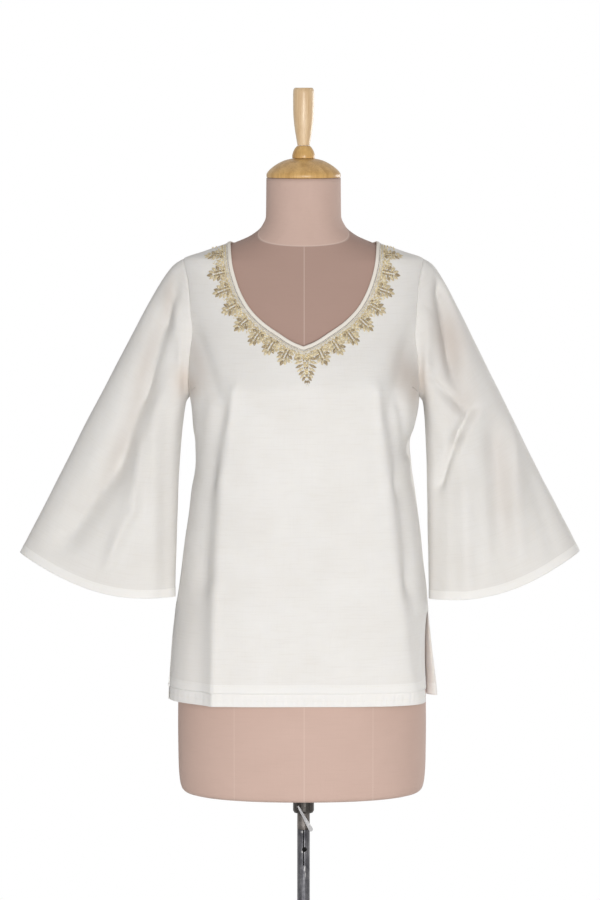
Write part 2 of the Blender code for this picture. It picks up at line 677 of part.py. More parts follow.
def form_ring(z, count):
    """One ring of the torso at height z."""
    share = float(ramp(np.array([z]), *FORM_BLEND)[0])
    turn = np.arange(count) * 2 * math.pi / count
    ring = {}
    for name in RING[1:]:
        low = float(column(FORM, RING, name, np.array([z]))[0])
        high = float(column(GARMENT, RING, name, np.array([z + REST * 1.06]))[0])
        if name in ("half", "front", "back"):
            high = high - REST * (0.9 if name == "half" else 1.0)
        if name == "back":
            high = high - 0.0028 * float(1 - ramp(z, 1.345, 1.358))
        if name == "mid":
            high = 0.0
        ring[name] = low + (high - low) * share
    ahead = np.sin(turn) < 0
    power = np.where(ahead, 2 / ring["sf"], 2 / ring["sb"])
    deep = np.where(ahead, ring["front"], ring["back"])
    x = ring["mid"] + ring["half"] * np.sign(np.cos(turn)) * np.abs(np.cos(turn)) ** power
    y = deep * np.sign(np.sin(turn)) * np.abs(np.sin(turn)) ** power
    return [(x[i], y[i], z) for i in range(count)]


def build_form(home):
    heights = list(np.array(FORM)[:-3, 0]) + [1.2150, 1.2400, 1.2650, 1.2880, 1.3050, 1.3150, 1.3220]
    heights += [1.3265, 1.3300, 1.3330, 1.3365, 1.3400, 1.3440, 1.3485, 1.3540, 1.3600, 1.3670, 1.3760]
    heights += [1.3900, FORM_TOP_Z]
    heights = sorted(set(round(float(h), 4) for h in heights))
    sheet = Sheet()
    rows = [sheet.add_row(form_ring(z, 42)) for z in heights]
    for lower, upper in zip(rows, rows[1:]):
        sheet.join_rows(lower, upper, around=True)
    sheet.faces.append(tuple(rows[0][::-1]))
    sheet.faces.append(tuple(rows[-1]))
    return add_object("form_body", sheet.points, sheet.faces, LINEN, home)


# Turned pieces

def turned_piece(name, profile, look, home, steps=28):
    """A solid of revolution: the profile runs from the axis at the top round to the axis at the bottom."""
    mesh = bpy.data.meshes.new(name)
    edges = [(i, i + 1) for i in range(len(profile) - 1)]
    mesh.from_pydata([(r, 0.0, z) for r, z in profile], edges, [])
    item = bpy.data.objects.new(name, mesh)
    home.objects.link(item)
    mesh.materials.append(material_for(name, look))
    screw = item.modifiers.new("Turn", "SCREW")
    screw.axis = "Z"
    screw.angle = 2 * math.pi
    screw.steps = steps
    screw.render_steps = steps
    screw.use_merge_vertices = True
    screw.merge_threshold = 0.00005
    screw.use_smooth_shade = False
    return item


def wood_top(home):
    cap = [(0.0, 1.4734), (0.0170, 1.4734), (0.0260, 1.4712), (0.0350, 1.4672), (0.0440, 1.4612),
           (0.0505, 1.4548), (0.0525, 1.4510), (0.0520, 1.4468), (0.0, 1.4468)]
    turned_piece("neck_cap", cap, HONEY_WOOD, home, 32)
    collar = [(0.0, 1.4915), (0.0090, 1.4915), (0.0122, 1.4878), (0.0148, 1.4825), (0.0161, 1.4772),
              (0.0158, 1.4738), (0.0, 1.4738)]
    turned_piece("cap_collar", collar, HONEY_WOOD, home, 24)
    handle = [(0.0, 1.5730), (0.0125, 1.5730), (0.0143, 1.5712), (0.0148, 1.5600), (0.0146, 1.5400),
              (0.0136, 1.5250), (0.0113, 1.5080), (0.0092, 1.4960), (0.0086, 1.4919), (0.0, 1.4919)]
    turned_piece("cap_handle", handle, HONEY_WOOD, home, 24)


def stand(home, helpers):
    socket = [(0.0, 0.5716), (0.0150, 0.5716), (0.0150, 0.5440), (0.0135, 0.5412), (0.0, 0.5412)]
    turned_piece("pole_socket", socket, DARK_STEEL, home, 28)
    ferrule = [(0.0, 0.5408), (POLE_RADIUS, 0.5408), (POLE_RADIUS, 0.5172), (0.0, 0.5172)]
    turned_piece("pole_ferrule", ferrule, PALE_METAL, home, 28)
    pole_bottom = BASE_THICK + 0.0004
    pole = [(0.0, 0.5168), (POLE_RADIUS, 0.5168), (POLE_RADIUS, pole_bottom), (0.0, pole_bottom)]
    pole_item = turned_piece("pole", pole, STEEL, home, 28)
    cut(pole_item, "pole_slot_cutter", (0.0, -0.0100, 0.4910), (0.0018, 0.0080, 0.0520), helpers)
    bpy.ops.mesh.primitive_cylinder_add(vertices=20, radius=0.0035, depth=0.012,
                                        location=(0.0014, -0.0100, 0.4887),
                                        rotation=(math.pi / 2, 0, 0))
    hole = bpy.context.active_object
    add_cutter(pole_item, hole, "pole_hole_cutter", helpers)
    low = BASE_THICK + 0.0004
    collar = [(0.0220, 0.0330), (0.0220, low), (0.0094, low), (0.0094, 0.0330), (0.0140, 0.0360),
              (0.0190, 0.0360), (0.0220, 0.0330)]
    turned_piece("base_collar", collar, DARK_STEEL, home, 28)
    disc = [(0.0, BASE_THICK), (BASE_RADIUS - 0.004, BASE_THICK), (BASE_RADIUS - 0.0012, BASE_THICK - 0.0012),
            (BASE_RADIUS, BASE_THICK - 0.004), (BASE_RADIUS, 0.002), (BASE_RADIUS - 0.002, 0.0), (0.0, 0.0)]
    turned_piece("base_disc", disc, DARK_STEEL, home, 40)


def cut(item, name, place, size, helpers):
    bpy.ops.mesh.primitive_cube_add(size=1.0, location=place)
    cutter = bpy.context.active_object
    cutter.scale = size
    add_cutter(item, cutter, name, helpers)


def add_cutter(item, cutter, name, helpers):
    cutter.name = name
    for home in list(cutter.users_collection):
        home.objects.unlink(cutter)
    helpers.objects.link(cutter)
    cutter.hide_render = True
    cutter.display_type = "WIRE"
    boolean = item.modifiers.new(name, "BOOLEAN")
    boolean.operation = "DIFFERENCE"
    boolean.solver = "EXACT"
    boolean.object = cutter


def locking_lever(home):
    """A flat tapered blade that hangs in front of the pole, narrow at the socket and round at its foot."""
    top = np.array([-0.0078, 0.5530])
    foot = np.array([0.0105, 0.5190])
    run = (foot - top) / np.linalg.norm(foot - top)
    aside = np.array([run[1], -run[0]])
    outline = [top + aside * 0.0012, top - aside * 0.0012]
    for k in range(9):
        angle = math.pi * k / 8
        outline.append(foot - aside * 0.0029 * math.cos(angle) + run * 0.0029 * math.sin(angle))
    front = -0.0182
    back = -0.0154
    points = [(p[0], front, p[1]) for p in outline] + [(p[0], back, p[1]) for p in outline]
    count = len(outline)
    faces = [tuple(range(count - 1, -1, -1)), tuple(range(count, 2 * count))]
    for i in range(count):
        j = (i + 1) % count
        faces.append((i, j, j + count, i + count))
    add_object("locking_lever", points, faces, PALE_METAL, home)


def build():
    clear_scene()
    home = new_collection("kurta_on_dress_form")
    helpers = new_collection("cutters")
    helpers.hide_render = True
    front = panel_sheet(-1, 14, 18, 12, STRIP_TOP_Z, 1.0)
    thicken(add_object("front_panel", front.points, front.faces, IVORY, home), CLOTH)
    back = panel_sheet(1, 12, 15, 10, HEM_Z - 0.0035, 1.0)
    thicken(add_object("back_panel", back.points, back.faces, IVORY, home), CLOTH)
    strip = hem_strip_sheet(33)
    thicken(add_object("front_hem_strip", strip.points, strip.faces, IVORY, home), 0.0014)
    right = sleeve_sheet(-1, CUFF_RIGHT, SLEEVE_RIGHT_FOLDS)
    thicken(add_object("sleeve_right", right.points, right.faces, IVORY, home), CLOTH)
    left = sleeve_sheet(1, CUFF_LEFT, SLEEVE_LEFT_FOLDS)
    thicken(add_object("sleeve_left", left.points, left.faces, IVORY, home), CLOTH)
    binding = binding_sheet()
    add_object("neck_binding", binding.points, binding.faces, CREAM, home)
    border = border_sheet()
    thicken(add_object("neck_embroidery", border.points, border.faces, GOLD_THREAD, home), BORDER_THICK)
    build_form(home)
    wood_top(home)
    stand(home, helpers)
    locking_lever(home)
    bpy.context.view_layer.update()


build()
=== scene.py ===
# %% [markdown]
# # A kurta tunic on a dress form
# The tunic is ivory plain weave, cut flat and sewn: a front, a back, two flared sleeves, a bias
# binding round the neck and a border of gold leaves. It is worn on a linen-covered dress form.
# The solids give every piece its place. This script gives each one its fine shape and finish.

# %% Frame and tools
import math

import bpy
import numpy as np
from mathutils import Matrix, Vector


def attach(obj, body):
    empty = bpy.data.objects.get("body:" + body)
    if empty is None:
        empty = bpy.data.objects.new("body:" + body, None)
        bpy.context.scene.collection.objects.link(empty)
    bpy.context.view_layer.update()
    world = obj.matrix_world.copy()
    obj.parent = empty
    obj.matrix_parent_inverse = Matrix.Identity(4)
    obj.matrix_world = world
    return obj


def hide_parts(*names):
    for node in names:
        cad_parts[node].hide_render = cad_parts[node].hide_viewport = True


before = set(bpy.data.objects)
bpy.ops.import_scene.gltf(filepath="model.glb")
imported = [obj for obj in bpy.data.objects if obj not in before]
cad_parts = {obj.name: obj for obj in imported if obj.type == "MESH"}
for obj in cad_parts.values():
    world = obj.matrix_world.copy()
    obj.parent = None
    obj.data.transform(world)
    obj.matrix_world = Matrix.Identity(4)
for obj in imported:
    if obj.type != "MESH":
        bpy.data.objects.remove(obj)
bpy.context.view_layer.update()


def in_scene(name, data):
    """A new object that holds the data, linked to the scene."""
    item = bpy.data.objects.new(name, data)
    bpy.context.scene.collection.objects.link(item)
    return item


# %% [markdown]
# A product photo is taken from far off with a long lens, so that nothing bulges. The camera
# stands six metres away, a little above the shoulders, and looks slightly down. The frame is
# 600 by 900, so the lens is worked out from how many pixels a metre takes at the form.

# %% Camera
MM_PER_PIXEL = 1.4186
PICTURE_ROWS = 900
SENSOR = 36.0
CAMERA_AWAY = 6.0
CAMERA_HEIGHT = 1.60
CENTRE_Z = 1.0609
CENTRE_X = -0.0050
pitch = math.atan2(CAMERA_HEIGHT - CENTRE_Z, CAMERA_AWAY)
camera_data = bpy.data.cameras.new("studio_camera")
camera_data.sensor_fit = "VERTICAL"
camera_data.sensor_height = SENSOR
camera_data.lens = SENSOR * (CAMERA_AWAY / math.cos(pitch)) / (PICTURE_ROWS * MM_PER_PIXEL / 1000)
camera_data.clip_end = 50.0
camera = in_scene("studio_camera", camera_data)
camera.location = (CENTRE_X, -CAMERA_AWAY, CAMERA_HEIGHT)
camera.rotation_euler = (math.pi / 2 - pitch, 0.0, 0.0)
bpy.context.scene.camera = camera
print("lens", round(camera_data.lens, 1), "pitch", round(math.degrees(pitch), 2))

# %% [markdown]
# White cloth on white needs light that wraps round it and still leaves the folds a shaded side.
# The world is a white sweep: the camera sees pure white, and the light it gives is strong behind
# the form and weak in front of it, as in a studio. One large soft light stands before the form,
# level with it and a little to the right, so that slopes and facets turn darker. A weak one fills
# in from the left, one behind at the right brings out the folds of the back, and a faint one
# hangs above.

# %% Light
AMBIENT_FRONT = 0.21
AMBIENT_BACK = 0.86


def soft_light(name, place, aim, size, power, colour):
    data = bpy.data.lights.new(name, "AREA")
    data.shape = "RECTANGLE"
    data.size, data.size_y = size
    data.energy = power
    data.color = colour
    lamp = in_scene(name, data)
    lamp.location = place
    lamp.rotation_euler = (Vector(aim) - Vector(place)).to_track_quat("-Z", "Y").to_euler()


soft_light("key_front", (0.45, -3.9, 1.10), (0, 0, 1.0), (1.2, 1.2), 103.0, (1.0, 0.99, 0.98))
soft_light("fill_left", (-1.9, -3.4, 1.10), (-0.1, 0, 0.9), (1.0, 1.4), 15.0, (0.98, 0.985, 1.0))
soft_light("back_side", (2.6, 2.7, 1.30), (0, 0, 1.0), (0.9, 0.9), 38.0, (1.0, 0.99, 0.98))
soft_light("top", (0.0, 0.3, 3.2), (0, 0, 1.2), (2.0, 1.4), 3.0, (1.0, 1.0, 1.0))

world = bpy.data.worlds.new("white_sweep")
bpy.context.scene.world = world
world.use_nodes = True
sky = world.node_tree
sky.nodes.clear()
seen = sky.nodes.new("ShaderNodeBackground")
seen.inputs["Color"].default_value = (1, 1, 1, 1)
seen.inputs["Strength"].default_value = 1.0
lit = sky.nodes.new("ShaderNodeBackground")
lit.inputs["Color"].default_value = (1.0, 0.985, 0.97, 1)
where = sky.nodes.new("ShaderNodeTexCoord")
parts = sky.nodes.new("ShaderNodeSeparateXYZ")
sky.links.new(where.outputs["Generated"], parts.inputs[0])
slope = sky.nodes.new("ShaderNodeMapRange")
slope.inputs["From Min"].default_value = -0.5
slope.inputs["From Max"].default_value = 1.0
slope.inputs["To Min"].default_value = AMBIENT_FRONT
slope.inputs["To Max"].default_value = AMBIENT_BACK
sky.links.new(parts.outputs["Y"], slope.inputs["Value"])
sky.links.new(slope.outputs["Result"], lit.inputs["Strength"])
path = sky.nodes.new("ShaderNodeLightPath")
mix = sky.nodes.new("ShaderNodeMixShader")
out = sky.nodes.new("ShaderNodeOutputWorld")
sky.links.new(path.outputs["Is Camera Ray"], mix.inputs["Fac"])
sky.links.new(lit.outputs["Background"], mix.inputs[1])
sky.links.new(seen.outputs["Background"], mix.inputs[2])
sky.links.new(mix.outputs["Shader"], out.inputs["Surface"])
bpy.context.scene.view_settings.view_transform = "Standard"
bpy.context.scene.view_settings.look = "None"
print("lights:", len(bpy.data.lights), "world:", world.name)

# %% [markdown]
# The stand rests on a plain pale floor. It is a round board, small enough that the long lens
# looks over it at the white sweep.

# %% Floor
FLOOR_RADIUS = 1.3
FLOOR_THICK = 0.01
FLOOR_MIDDLE_Z = -0.0052
bpy.ops.mesh.primitive_cylinder_add(vertices=96, radius=FLOOR_RADIUS, depth=FLOOR_THICK,
                                    location=(0, 0, FLOOR_MIDDLE_Z))
floor = bpy.context.active_object
floor.name = "floor_board"
floor_paint = bpy.data.materials.new("pale_floor")
floor_paint.use_nodes = True
floor_shader = floor_paint.node_tree.nodes["Principled BSDF"]
floor_shader.inputs["Base Color"].default_value = (0.82, 0.82, 0.81, 1)
floor_shader.inputs["Roughness"].default_value = 0.7
floor.data.materials.append(floor_paint)
print("floor:", floor.name, "radius", FLOOR_RADIUS)

# %% [markdown]
# ## Shared finishes
# Each group is one thing that several materials need: a plain weave with slubs, the grain of
# turned wood, and the streaks and scuffs of handled steel. A group gives out colour, roughness
# and height, and the shader itself stays in each material.


# %% Helpers for node groups
def new_group(name, inputs, outputs):
    group = bpy.data.node_groups.new(name, "ShaderNodeTree")
    for title, kind, value in inputs:
        socket = group.interface.new_socket(name=title, in_out="INPUT", socket_type=kind)
        if value is not None:
            socket.default_value = value
    for title, kind in outputs:
        group.interface.new_socket(name=title, in_out="OUTPUT", socket_type=kind)
    start = group.nodes.new("NodeGroupInput")
    end = group.nodes.new("NodeGroupOutput")
    return group, start, end


def math_node(group, operation, a, b=None, c=None):
    node = group.nodes.new("ShaderNodeMath")
    node.operation = operation
    for i, value in enumerate((a, b, c)):
        if value is None:
            continue
        if isinstance(value, (int, float)):
            node.inputs[i].default_value = value
        else:
            group.links.new(value, node.inputs[i])
    return node.outputs[0]


def multiply(group, a, b):
    return math_node(group, "MULTIPLY", a, b)


def add(group, a, b):
    return math_node(group, "ADD", a, b)


def subtract(group, a, b):
    return math_node(group, "SUBTRACT", a, b)


def squared_away(group, across, upward):
    """Squared distance from a centre, from the two steps to it."""
    return add(group, multiply(group, across, across), multiply(group, upward, upward))


def noise_node(group, vector, scale, detail=2.0, rough=0.5):
    node = group.nodes.new("ShaderNodeTexNoise")
    group.links.new(vector, node.inputs["Vector"])
    node.inputs["Scale"].default_value = scale
    node.inputs["Detail"].default_value = detail
    node.inputs["Roughness"].default_value = rough
    return node.outputs["Fac"]


def stretched(group, vector, factors):
    node = group.nodes.new("ShaderNodeVectorMath")
    node.operation = "MULTIPLY"
    group.links.new(vector, node.inputs[0])
    node.inputs[1].default_value = factors
    return node.outputs["Vector"]


def grained(group, vector, factors, detail, rough):
    """Noise with a stretched grain: the factors say how fine it is along each axis."""
    return noise_node(group, stretched(group, vector, factors), 1.0, detail, rough)


def ranged(group, value, low, high, to_low=0.0, to_high=1.0):
    node = group.nodes.new("ShaderNodeMapRange")
    group.links.new(value, node.inputs["Value"])
    for title, amount in (("From Min", low), ("From Max", high), ("To Min", to_low), ("To Max", to_high)):
        node.inputs[title].default_value = amount
    return node.outputs["Result"]


def mixed(group, fac, a, b):
    node = group.nodes.new("ShaderNodeMix")
    node.data_type = "RGBA"
    if isinstance(fac, (int, float)):
        node.inputs["Factor"].default_value = fac
    else:
        group.links.new(fac, node.inputs["Factor"])
    for slot, value in (("A", a), ("B", b)):
        socket = [s for s in node.inputs if s.name == slot and s.type == "RGBA"][0]
        if isinstance(value, tuple):
            socket.default_value = value
        else:
            group.links.new(value, socket)
    return [s for s in node.outputs if s.type == "RGBA"][0]


def object_axes(tree):
    """The x, y and z of a material's place on its object."""
    where = tree.nodes.new("ShaderNodeTexCoord")
    split = tree.nodes.new("ShaderNodeSeparateXYZ")
    tree.links.new(where.outputs["Object"], split.inputs[0])
    return [split.outputs[axis] for axis in ("X", "Y", "Z")]


# %% [markdown]
# ### Plain weave
# In the real cloth warp and weft threads cross one over one, and here and there a thicker
# thread, a slub, shows as a faint line. An image of cloth would repeat itself. Two sine waves
# stand for the threads and stretched noise for the slubs, so the weave has its true scale on
# every piece, and the doubled hem is whiter because two layers let less through.

# %% Weave group
def make_weave():
    """Plain weave in metres of cloth: threads both ways, slubs along the weft, a whiter doubled hem.

    The threads are sines, so 7200 to a metre stands for some 1150 threads."""
    group, start, end = new_group(
        "plain_weave",
        [("Cloth", "NodeSocketVector", None), ("Threads per metre", "NodeSocketFloat", 1500.0),
         ("Slubs", "NodeSocketFloat", 0.5), ("Light", "NodeSocketColor", (0.9, 0.9, 0.87, 1)),
         ("Shade", "NodeSocketColor", (0.75, 0.72, 0.66, 1)), ("Band top", "NodeSocketFloat", -1.0),
         ("Band", "NodeSocketColor", (0.93, 0.92, 0.89, 1))],
        [("Color", "NodeSocketColor"), ("Roughness", "NodeSocketFloat"), ("Height", "NodeSocketFloat")],
    )
    cloth = start.outputs["Cloth"]
    per_metre = start.outputs["Threads per metre"]
    split = group.nodes.new("ShaderNodeSeparateXYZ")
    group.links.new(cloth, split.inputs[0])
    warp = math_node(group, "SINE", multiply(group, split.outputs["X"], per_metre))
    weft = math_node(group, "SINE", multiply(group, split.outputs["Y"], per_metre))
    threads = add(group, multiply(group, warp, 0.5), multiply(group, weft, 0.5))
    slub = ranged(group, grained(group, cloth, (26.0, 430.0, 1.0), 3.0, 0.6), 0.50, 0.72)
    warp_slub = ranged(group, grained(group, cloth, (520.0, 18.0, 1.0), 2.0, 0.6), 0.52, 0.76)
    both = add(group, slub, multiply(group, warp_slub, 0.5))
    slubs = multiply(group, both, start.outputs["Slubs"])
    mottle = ranged(group, noise_node(group, cloth, 14.0, 4.0, 0.55), 0.3, 0.7)
    tone = add(group, multiply(group, slubs, 0.35), multiply(group, mottle, 0.28))
    single = mixed(group, tone, start.outputs["Light"], start.outputs["Shade"])
    in_hem = math_node(group, "LESS_THAN", split.outputs["Y"], start.outputs["Band top"])
    double = multiply(group, in_hem, subtract(group, 0.85, multiply(group, tone, 0.6)))
    group.links.new(mixed(group, double, single, start.outputs["Band"]), end.inputs["Color"])
    group.links.new(ranged(group, slubs, 0.0, 1.0, 0.78, 0.60), end.inputs["Roughness"])
    group.links.new(add(group, multiply(group, threads, 0.25), slubs), end.inputs["Height"])
    return group


# %% [markdown]
# ### Turned wood
# The fibres of the turned pieces run along their axis. An image of a board would show a joint
# on a round piece. Noise that is drawn out along the axis gives fibres, pores and soft rings,
# and has none.

# %% Wood group
def make_wood():
    """Grain of turned wood: long fibres along the axis with darker pores and wide soft rings."""
    group, start, end = new_group(
        "turned_wood",
        [("Place", "NodeSocketVector", None), ("Light", "NodeSocketColor", (0.72, 0.46, 0.22, 1)),
         ("Dark", "NodeSocketColor", (0.42, 0.22, 0.09, 1))],
        [("Color", "NodeSocketColor"), ("Roughness", "NodeSocketFloat"), ("Height", "NodeSocketFloat")],
    )
    place = start.outputs["Place"]
    fibre = grained(group, place, (520.0, 520.0, 22.0), 4.0, 0.6)
    rings = grained(group, place, (95.0, 95.0, 9.0), 2.0, 0.5)
    pores = ranged(group, grained(group, place, (1500.0, 1500.0, 90.0), 1.0, 0.5), 0.60, 0.75)
    tone = add(group, ranged(group, fibre, 0.35, 0.7, 0.0, 0.45),
               ranged(group, rings, 0.4, 0.65, 0.0, 0.5))
    tone = add(group, tone, multiply(group, pores, 0.25))
    group.links.new(mixed(group, tone, start.outputs["Light"], start.outputs["Dark"]), end.inputs["Color"])
    group.links.new(ranged(group, fibre, 0.3, 0.7, 0.30, 0.44), end.inputs["Roughness"])
    group.links.new(multiply(group, pores, -1.0), end.inputs["Height"])
    return group


# %% [markdown]
# ### Handled steel
# The pole and the lever have been gripped and slid for years: they have fine streaks along the
# bar, dark stains and pale scuffs. Each is a noise of its own scale. One group with colours as
# inputs serves the bright lever and the dull base alike.

# %% Steel group
def make_steel():
    """Handled steel: fine streaks along the bar, darker stains and bright scuffs."""
    group, start, end = new_group(
        "handled_steel",
        [("Place", "NodeSocketVector", None), ("Bright", "NodeSocketColor", (0.5, 0.5, 0.5, 1)),
         ("Dull", "NodeSocketColor", (0.1, 0.1, 0.1, 1)), ("Scuffs", "NodeSocketFloat", 0.5)],
        [("Color", "NodeSocketColor"), ("Roughness", "NodeSocketFloat"), ("Height", "NodeSocketFloat")],
    )
    place = start.outputs["Place"]
    streak = grained(group, place, (900.0, 900.0, 30.0), 3.0, 0.6)
    stain = noise_node(group, place, 60.0, 4.0, 0.6)
    scuff = ranged(group, grained(group, place, (420.0, 420.0, 160.0), 3.0, 0.7), 0.60, 0.70)
    tone = multiply(group, ranged(group, streak, 0.3, 0.7), ranged(group, stain, 0.3, 0.65))
    base = mixed(group, tone, start.outputs["Dull"], start.outputs["Bright"])
    marks = multiply(group, scuff, start.outputs["Scuffs"])
    group.links.new(mixed(group, marks, base, (0.72, 0.71, 0.69, 1)), end.inputs["Color"])
    group.links.new(ranged(group, stain, 0.3, 0.7, 0.28, 0.5), end.inputs["Roughness"])
    group.links.new(streak, end.inputs["Height"])
    return group


WEAVE = make_weave()
WOOD = make_wood()
STEEL_FINISH = make_steel()
print("shared finishes:", [g.name for g in (WEAVE, WOOD, STEEL_FINISH)])


# %% [markdown]
# ## Materials
# One function places a group in a new material and joins it to the shader: the group's colour
# and roughness go straight in, and its height goes through a Bump node. Cloth reads its own UV
# map, which is laid out in metres of cloth; solid pieces read Object coordinates.

# %% Material helper
def finish_from(name, group, values, source, bump, distance, metallic=0.0, sheen=0.0, specular=0.5):
    made = bpy.data.materials.new(name)
    made.use_nodes = True
    tree = made.node_tree
    shader = tree.nodes["Principled BSDF"]
    node = tree.nodes.new("ShaderNodeGroup")
    node.node_tree = group
    where = tree.nodes.new("ShaderNodeUVMap" if source == "UV" else "ShaderNodeTexCoord")
    if source == "UV":
        where.uv_map = "cloth"
    tree.links.new(where.outputs["UV" if source == "UV" else "Object"], node.inputs[0])
    for title, value in values.items():
        node.inputs[title].default_value = value
    tree.links.new(node.outputs["Color"], shader.inputs["Base Color"])
    tree.links.new(node.outputs["Roughness"], shader.inputs["Roughness"])
    relief = tree.nodes.new("ShaderNodeBump")
    relief.inputs["Strength"].default_value = bump
    relief.inputs["Distance"].default_value = distance
    tree.links.new(node.outputs["Height"], relief.inputs["Height"])
    tree.links.new(relief.outputs["Normal"], shader.inputs["Normal"])
    shader.inputs["Metallic"].default_value = metallic
    shader.inputs["Sheen Weight"].default_value = sheen
    shader.inputs["Specular IOR Level"].default_value = specular
    return made


def group_colour(tree):
    """The colour that the shared finish of a material gives out."""
    return [node for node in tree.nodes if node.type == "GROUP"][0].outputs["Color"]


# %% [markdown]
# ### The tunic's cloth
# Fine ivory cloth is matt, scatters a little light within itself and looks warmer over the linen.
# Cloth that is truly see-through would render slowly and with grain, so it stays opaque. Shade is
# painted into its colour by place in a few hollows, and a few soft warm tints stand for the linen
# seen through it.

# %% Materials of the tunic
FRONT_BAND_TOP_Z = 0.7430
BACK_BAND_TOP_Z = 0.7255
CUFF_BAND = 0.0125
ABOVE_STRIP_Z = 0.7600
IVORY_VALUES = {"Light": (0.832, 0.818, 0.795, 1), "Shade": (0.70, 0.668, 0.62, 1),
                "Threads per metre": 7200.0, "Slubs": 0.5, "Band": (0.875, 0.865, 0.845, 1)}


def ivory(name, band_top, tone=1.0):
    """Ivory cloth that is doubled up to band_top: a height, or for a sleeve the way up from its cuff."""
    values = dict(IVORY_VALUES, **{"Band top": band_top})
    for title in ("Light", "Shade"):
        values[title] = tuple(c * tone for c in values[title][:3]) + (1,)
    made = finish_from(name, WEAVE, values, "UV", 0.28, 0.0004, sheen=0.12, specular=0.25)
    shader = made.node_tree.nodes["Principled BSDF"]
    shader.inputs["Subsurface Weight"].default_value = 0.35
    shader.inputs["Subsurface Radius"].default_value = (1.0, 0.95, 0.85)
    shader.inputs["Subsurface Scale"].default_value = 0.0012
    return made


IVORY_FRONT = ivory("ivory_weave_front", FRONT_BAND_TOP_Z)
IVORY_BACK = ivory("ivory_weave_back", BACK_BAND_TOP_Z)
# The sleeves' cloth is a darker copy, 0.945 of the others: painted shade for the dim, empty inside of the
# thin sleeve.
IVORY_SLEEVE = ivory("ivory_weave_sleeve", CUFF_BAND, 0.945)
IVORY_STRIP = ivory("ivory_weave_strip", ABOVE_STRIP_Z)


def paint_shade_and_linen_tints(material, places):
    """Paints shade into a few hollows of the cloth's front, and warm tints where the linen shows through.

    Each place has its x, z, half sizes, lean, amount and tint."""
    tree = material.node_tree
    x, y, z = object_axes(tree)
    ahead = ranged(tree, y, -0.030, 0.005, 1.0, 0.0)
    colour = group_colour(tree)
    for place_x, place_z, wide, high, lean, amount, tint in places:
        upward = subtract(tree, z, place_z)
        aside = subtract(tree, subtract(tree, x, place_x), multiply(tree, upward, lean))
        aside = math_node(tree, "DIVIDE", aside, wide)
        upward = math_node(tree, "DIVIDE", upward, high)
        far = squared_away(tree, aside, upward)
        share = multiply(tree, math_node(tree, "EXPONENT", multiply(tree, far, -1.3)), amount)
        colour = mixed(tree, multiply(tree, share, ahead), colour, tint)
    tree.links.new(colour, tree.nodes["Principled BSDF"].inputs["Base Color"])


# SHADOW_TINT is painted shade for hollows and troughs; LINEN_TINT is the linen seen through the cloth.
SHADOW_TINT = (0.50, 0.41, 0.35, 1)
LINEN_TINT = (0.60, 0.45, 0.34, 1)
# Front: painted shade beside both armholes and on the left facet, and the linen seen through near the
# armpits.
paint_shade_and_linen_tints(IVORY_FRONT, (
    (0.1410, 1.1760, 0.0200, 0.0380, -0.15, 0.50, SHADOW_TINT),
    (-0.1560, 0.8300, 0.0230, 0.1300, 0.03, 0.10, SHADOW_TINT),
    (-0.1470, 1.1900, 0.0150, 0.0450, -0.28, 0.32, SHADOW_TINT),
    (-0.1560, 1.1560, 0.0120, 0.0200, 0.0, 0.38, LINEN_TINT),
    (0.1560, 1.1500, 0.0090, 0.0300, 0.0, 0.30, LINEN_TINT),
))
# Sleeves: painted shade along the troughs and at the upper sleeve, and the linen seen through at the
# armpits.
paint_shade_and_linen_tints(IVORY_SLEEVE, (
    (0.2040, 1.2240, 0.0250, 0.0600, -0.15, 0.52, SHADOW_TINT),
    (0.1660, 1.1620, 0.0110, 0.0320, 0.0, 0.26, LINEN_TINT),
    (0.2250, 1.1350, 0.0240, 0.0300, 0.0, 0.22, SHADOW_TINT),
    (0.2800, 1.0300, 0.0200, 0.0900, -0.10, 0.22, SHADOW_TINT),
    (-0.1900, 1.2800, 0.0110, 0.0330, 0.10, 0.34, SHADOW_TINT),
    (-0.2220, 1.1870, 0.0130, 0.0620, 0.31, 0.26, SHADOW_TINT),
    (-0.2560, 1.0700, 0.0200, 0.0800, 0.42, 0.20, SHADOW_TINT),
    (-0.1700, 1.1640, 0.0150, 0.0260, 0.0, 0.32, LINEN_TINT),
))
CREAM = finish_from(
    "cream_bias", WEAVE,
    {"Light": (0.86, 0.82, 0.75, 1), "Shade": (0.76, 0.70, 0.60, 1), "Threads per metre": 9000.0,
     "Slubs": 0.2}, "UV", 0.2, 0.0003, sheen=0.2, specular=0.35)
print("cloth materials:", [m.name for m in (IVORY_FRONT, IVORY_BACK, IVORY_SLEEVE, IVORY_STRIP, CREAM)])


# %% [markdown]
# ### Linen, wood and steel
# Two short functions give each wood and each steel its own colours. The pole's slot and hole
# are cut in its solid. So narrow a cut gets hardly any light, so the material also darkens what
# lies nearer to the axis than the bar's skin.

# %% Materials of the form and the stand
def wood(name, light, dark):
    return finish_from(name, WOOD, {"Light": light, "Dark": dark}, "OBJECT", 0.15, 0.0003)


def steel(name, bright, dull, scuffs, metallic):
    values = {"Bright": bright, "Dull": dull, "Scuffs": scuffs}
    return finish_from(name, STEEL_FINISH, values, "OBJECT", 0.1, 0.0003, metallic=metallic)


LINEN = finish_from(
    "pink_linen", WEAVE,
    {"Light": (0.62, 0.45, 0.385, 1), "Shade": (0.53, 0.375, 0.315, 1), "Threads per metre": 5200.0,
     "Slubs": 0.45}, "UV", 0.3, 0.0005, sheen=0.1, specular=0.2)
HONEY = wood("honey_wood", (0.75, 0.475, 0.180, 1), (0.47, 0.260, 0.080, 1))
PALE_WOOD = wood("pale_handle_wood", (0.83, 0.63, 0.40, 1), (0.60, 0.39, 0.20, 1))
POLE_STEEL = steel("pole_steel", (0.36, 0.36, 0.375, 1), (0.10, 0.10, 0.115, 1), 0.12, 0.7)
WARM_STEEL = steel("ferrule_steel", (0.34, 0.315, 0.30, 1), (0.13, 0.115, 0.105, 1), 0.12, 0.7)

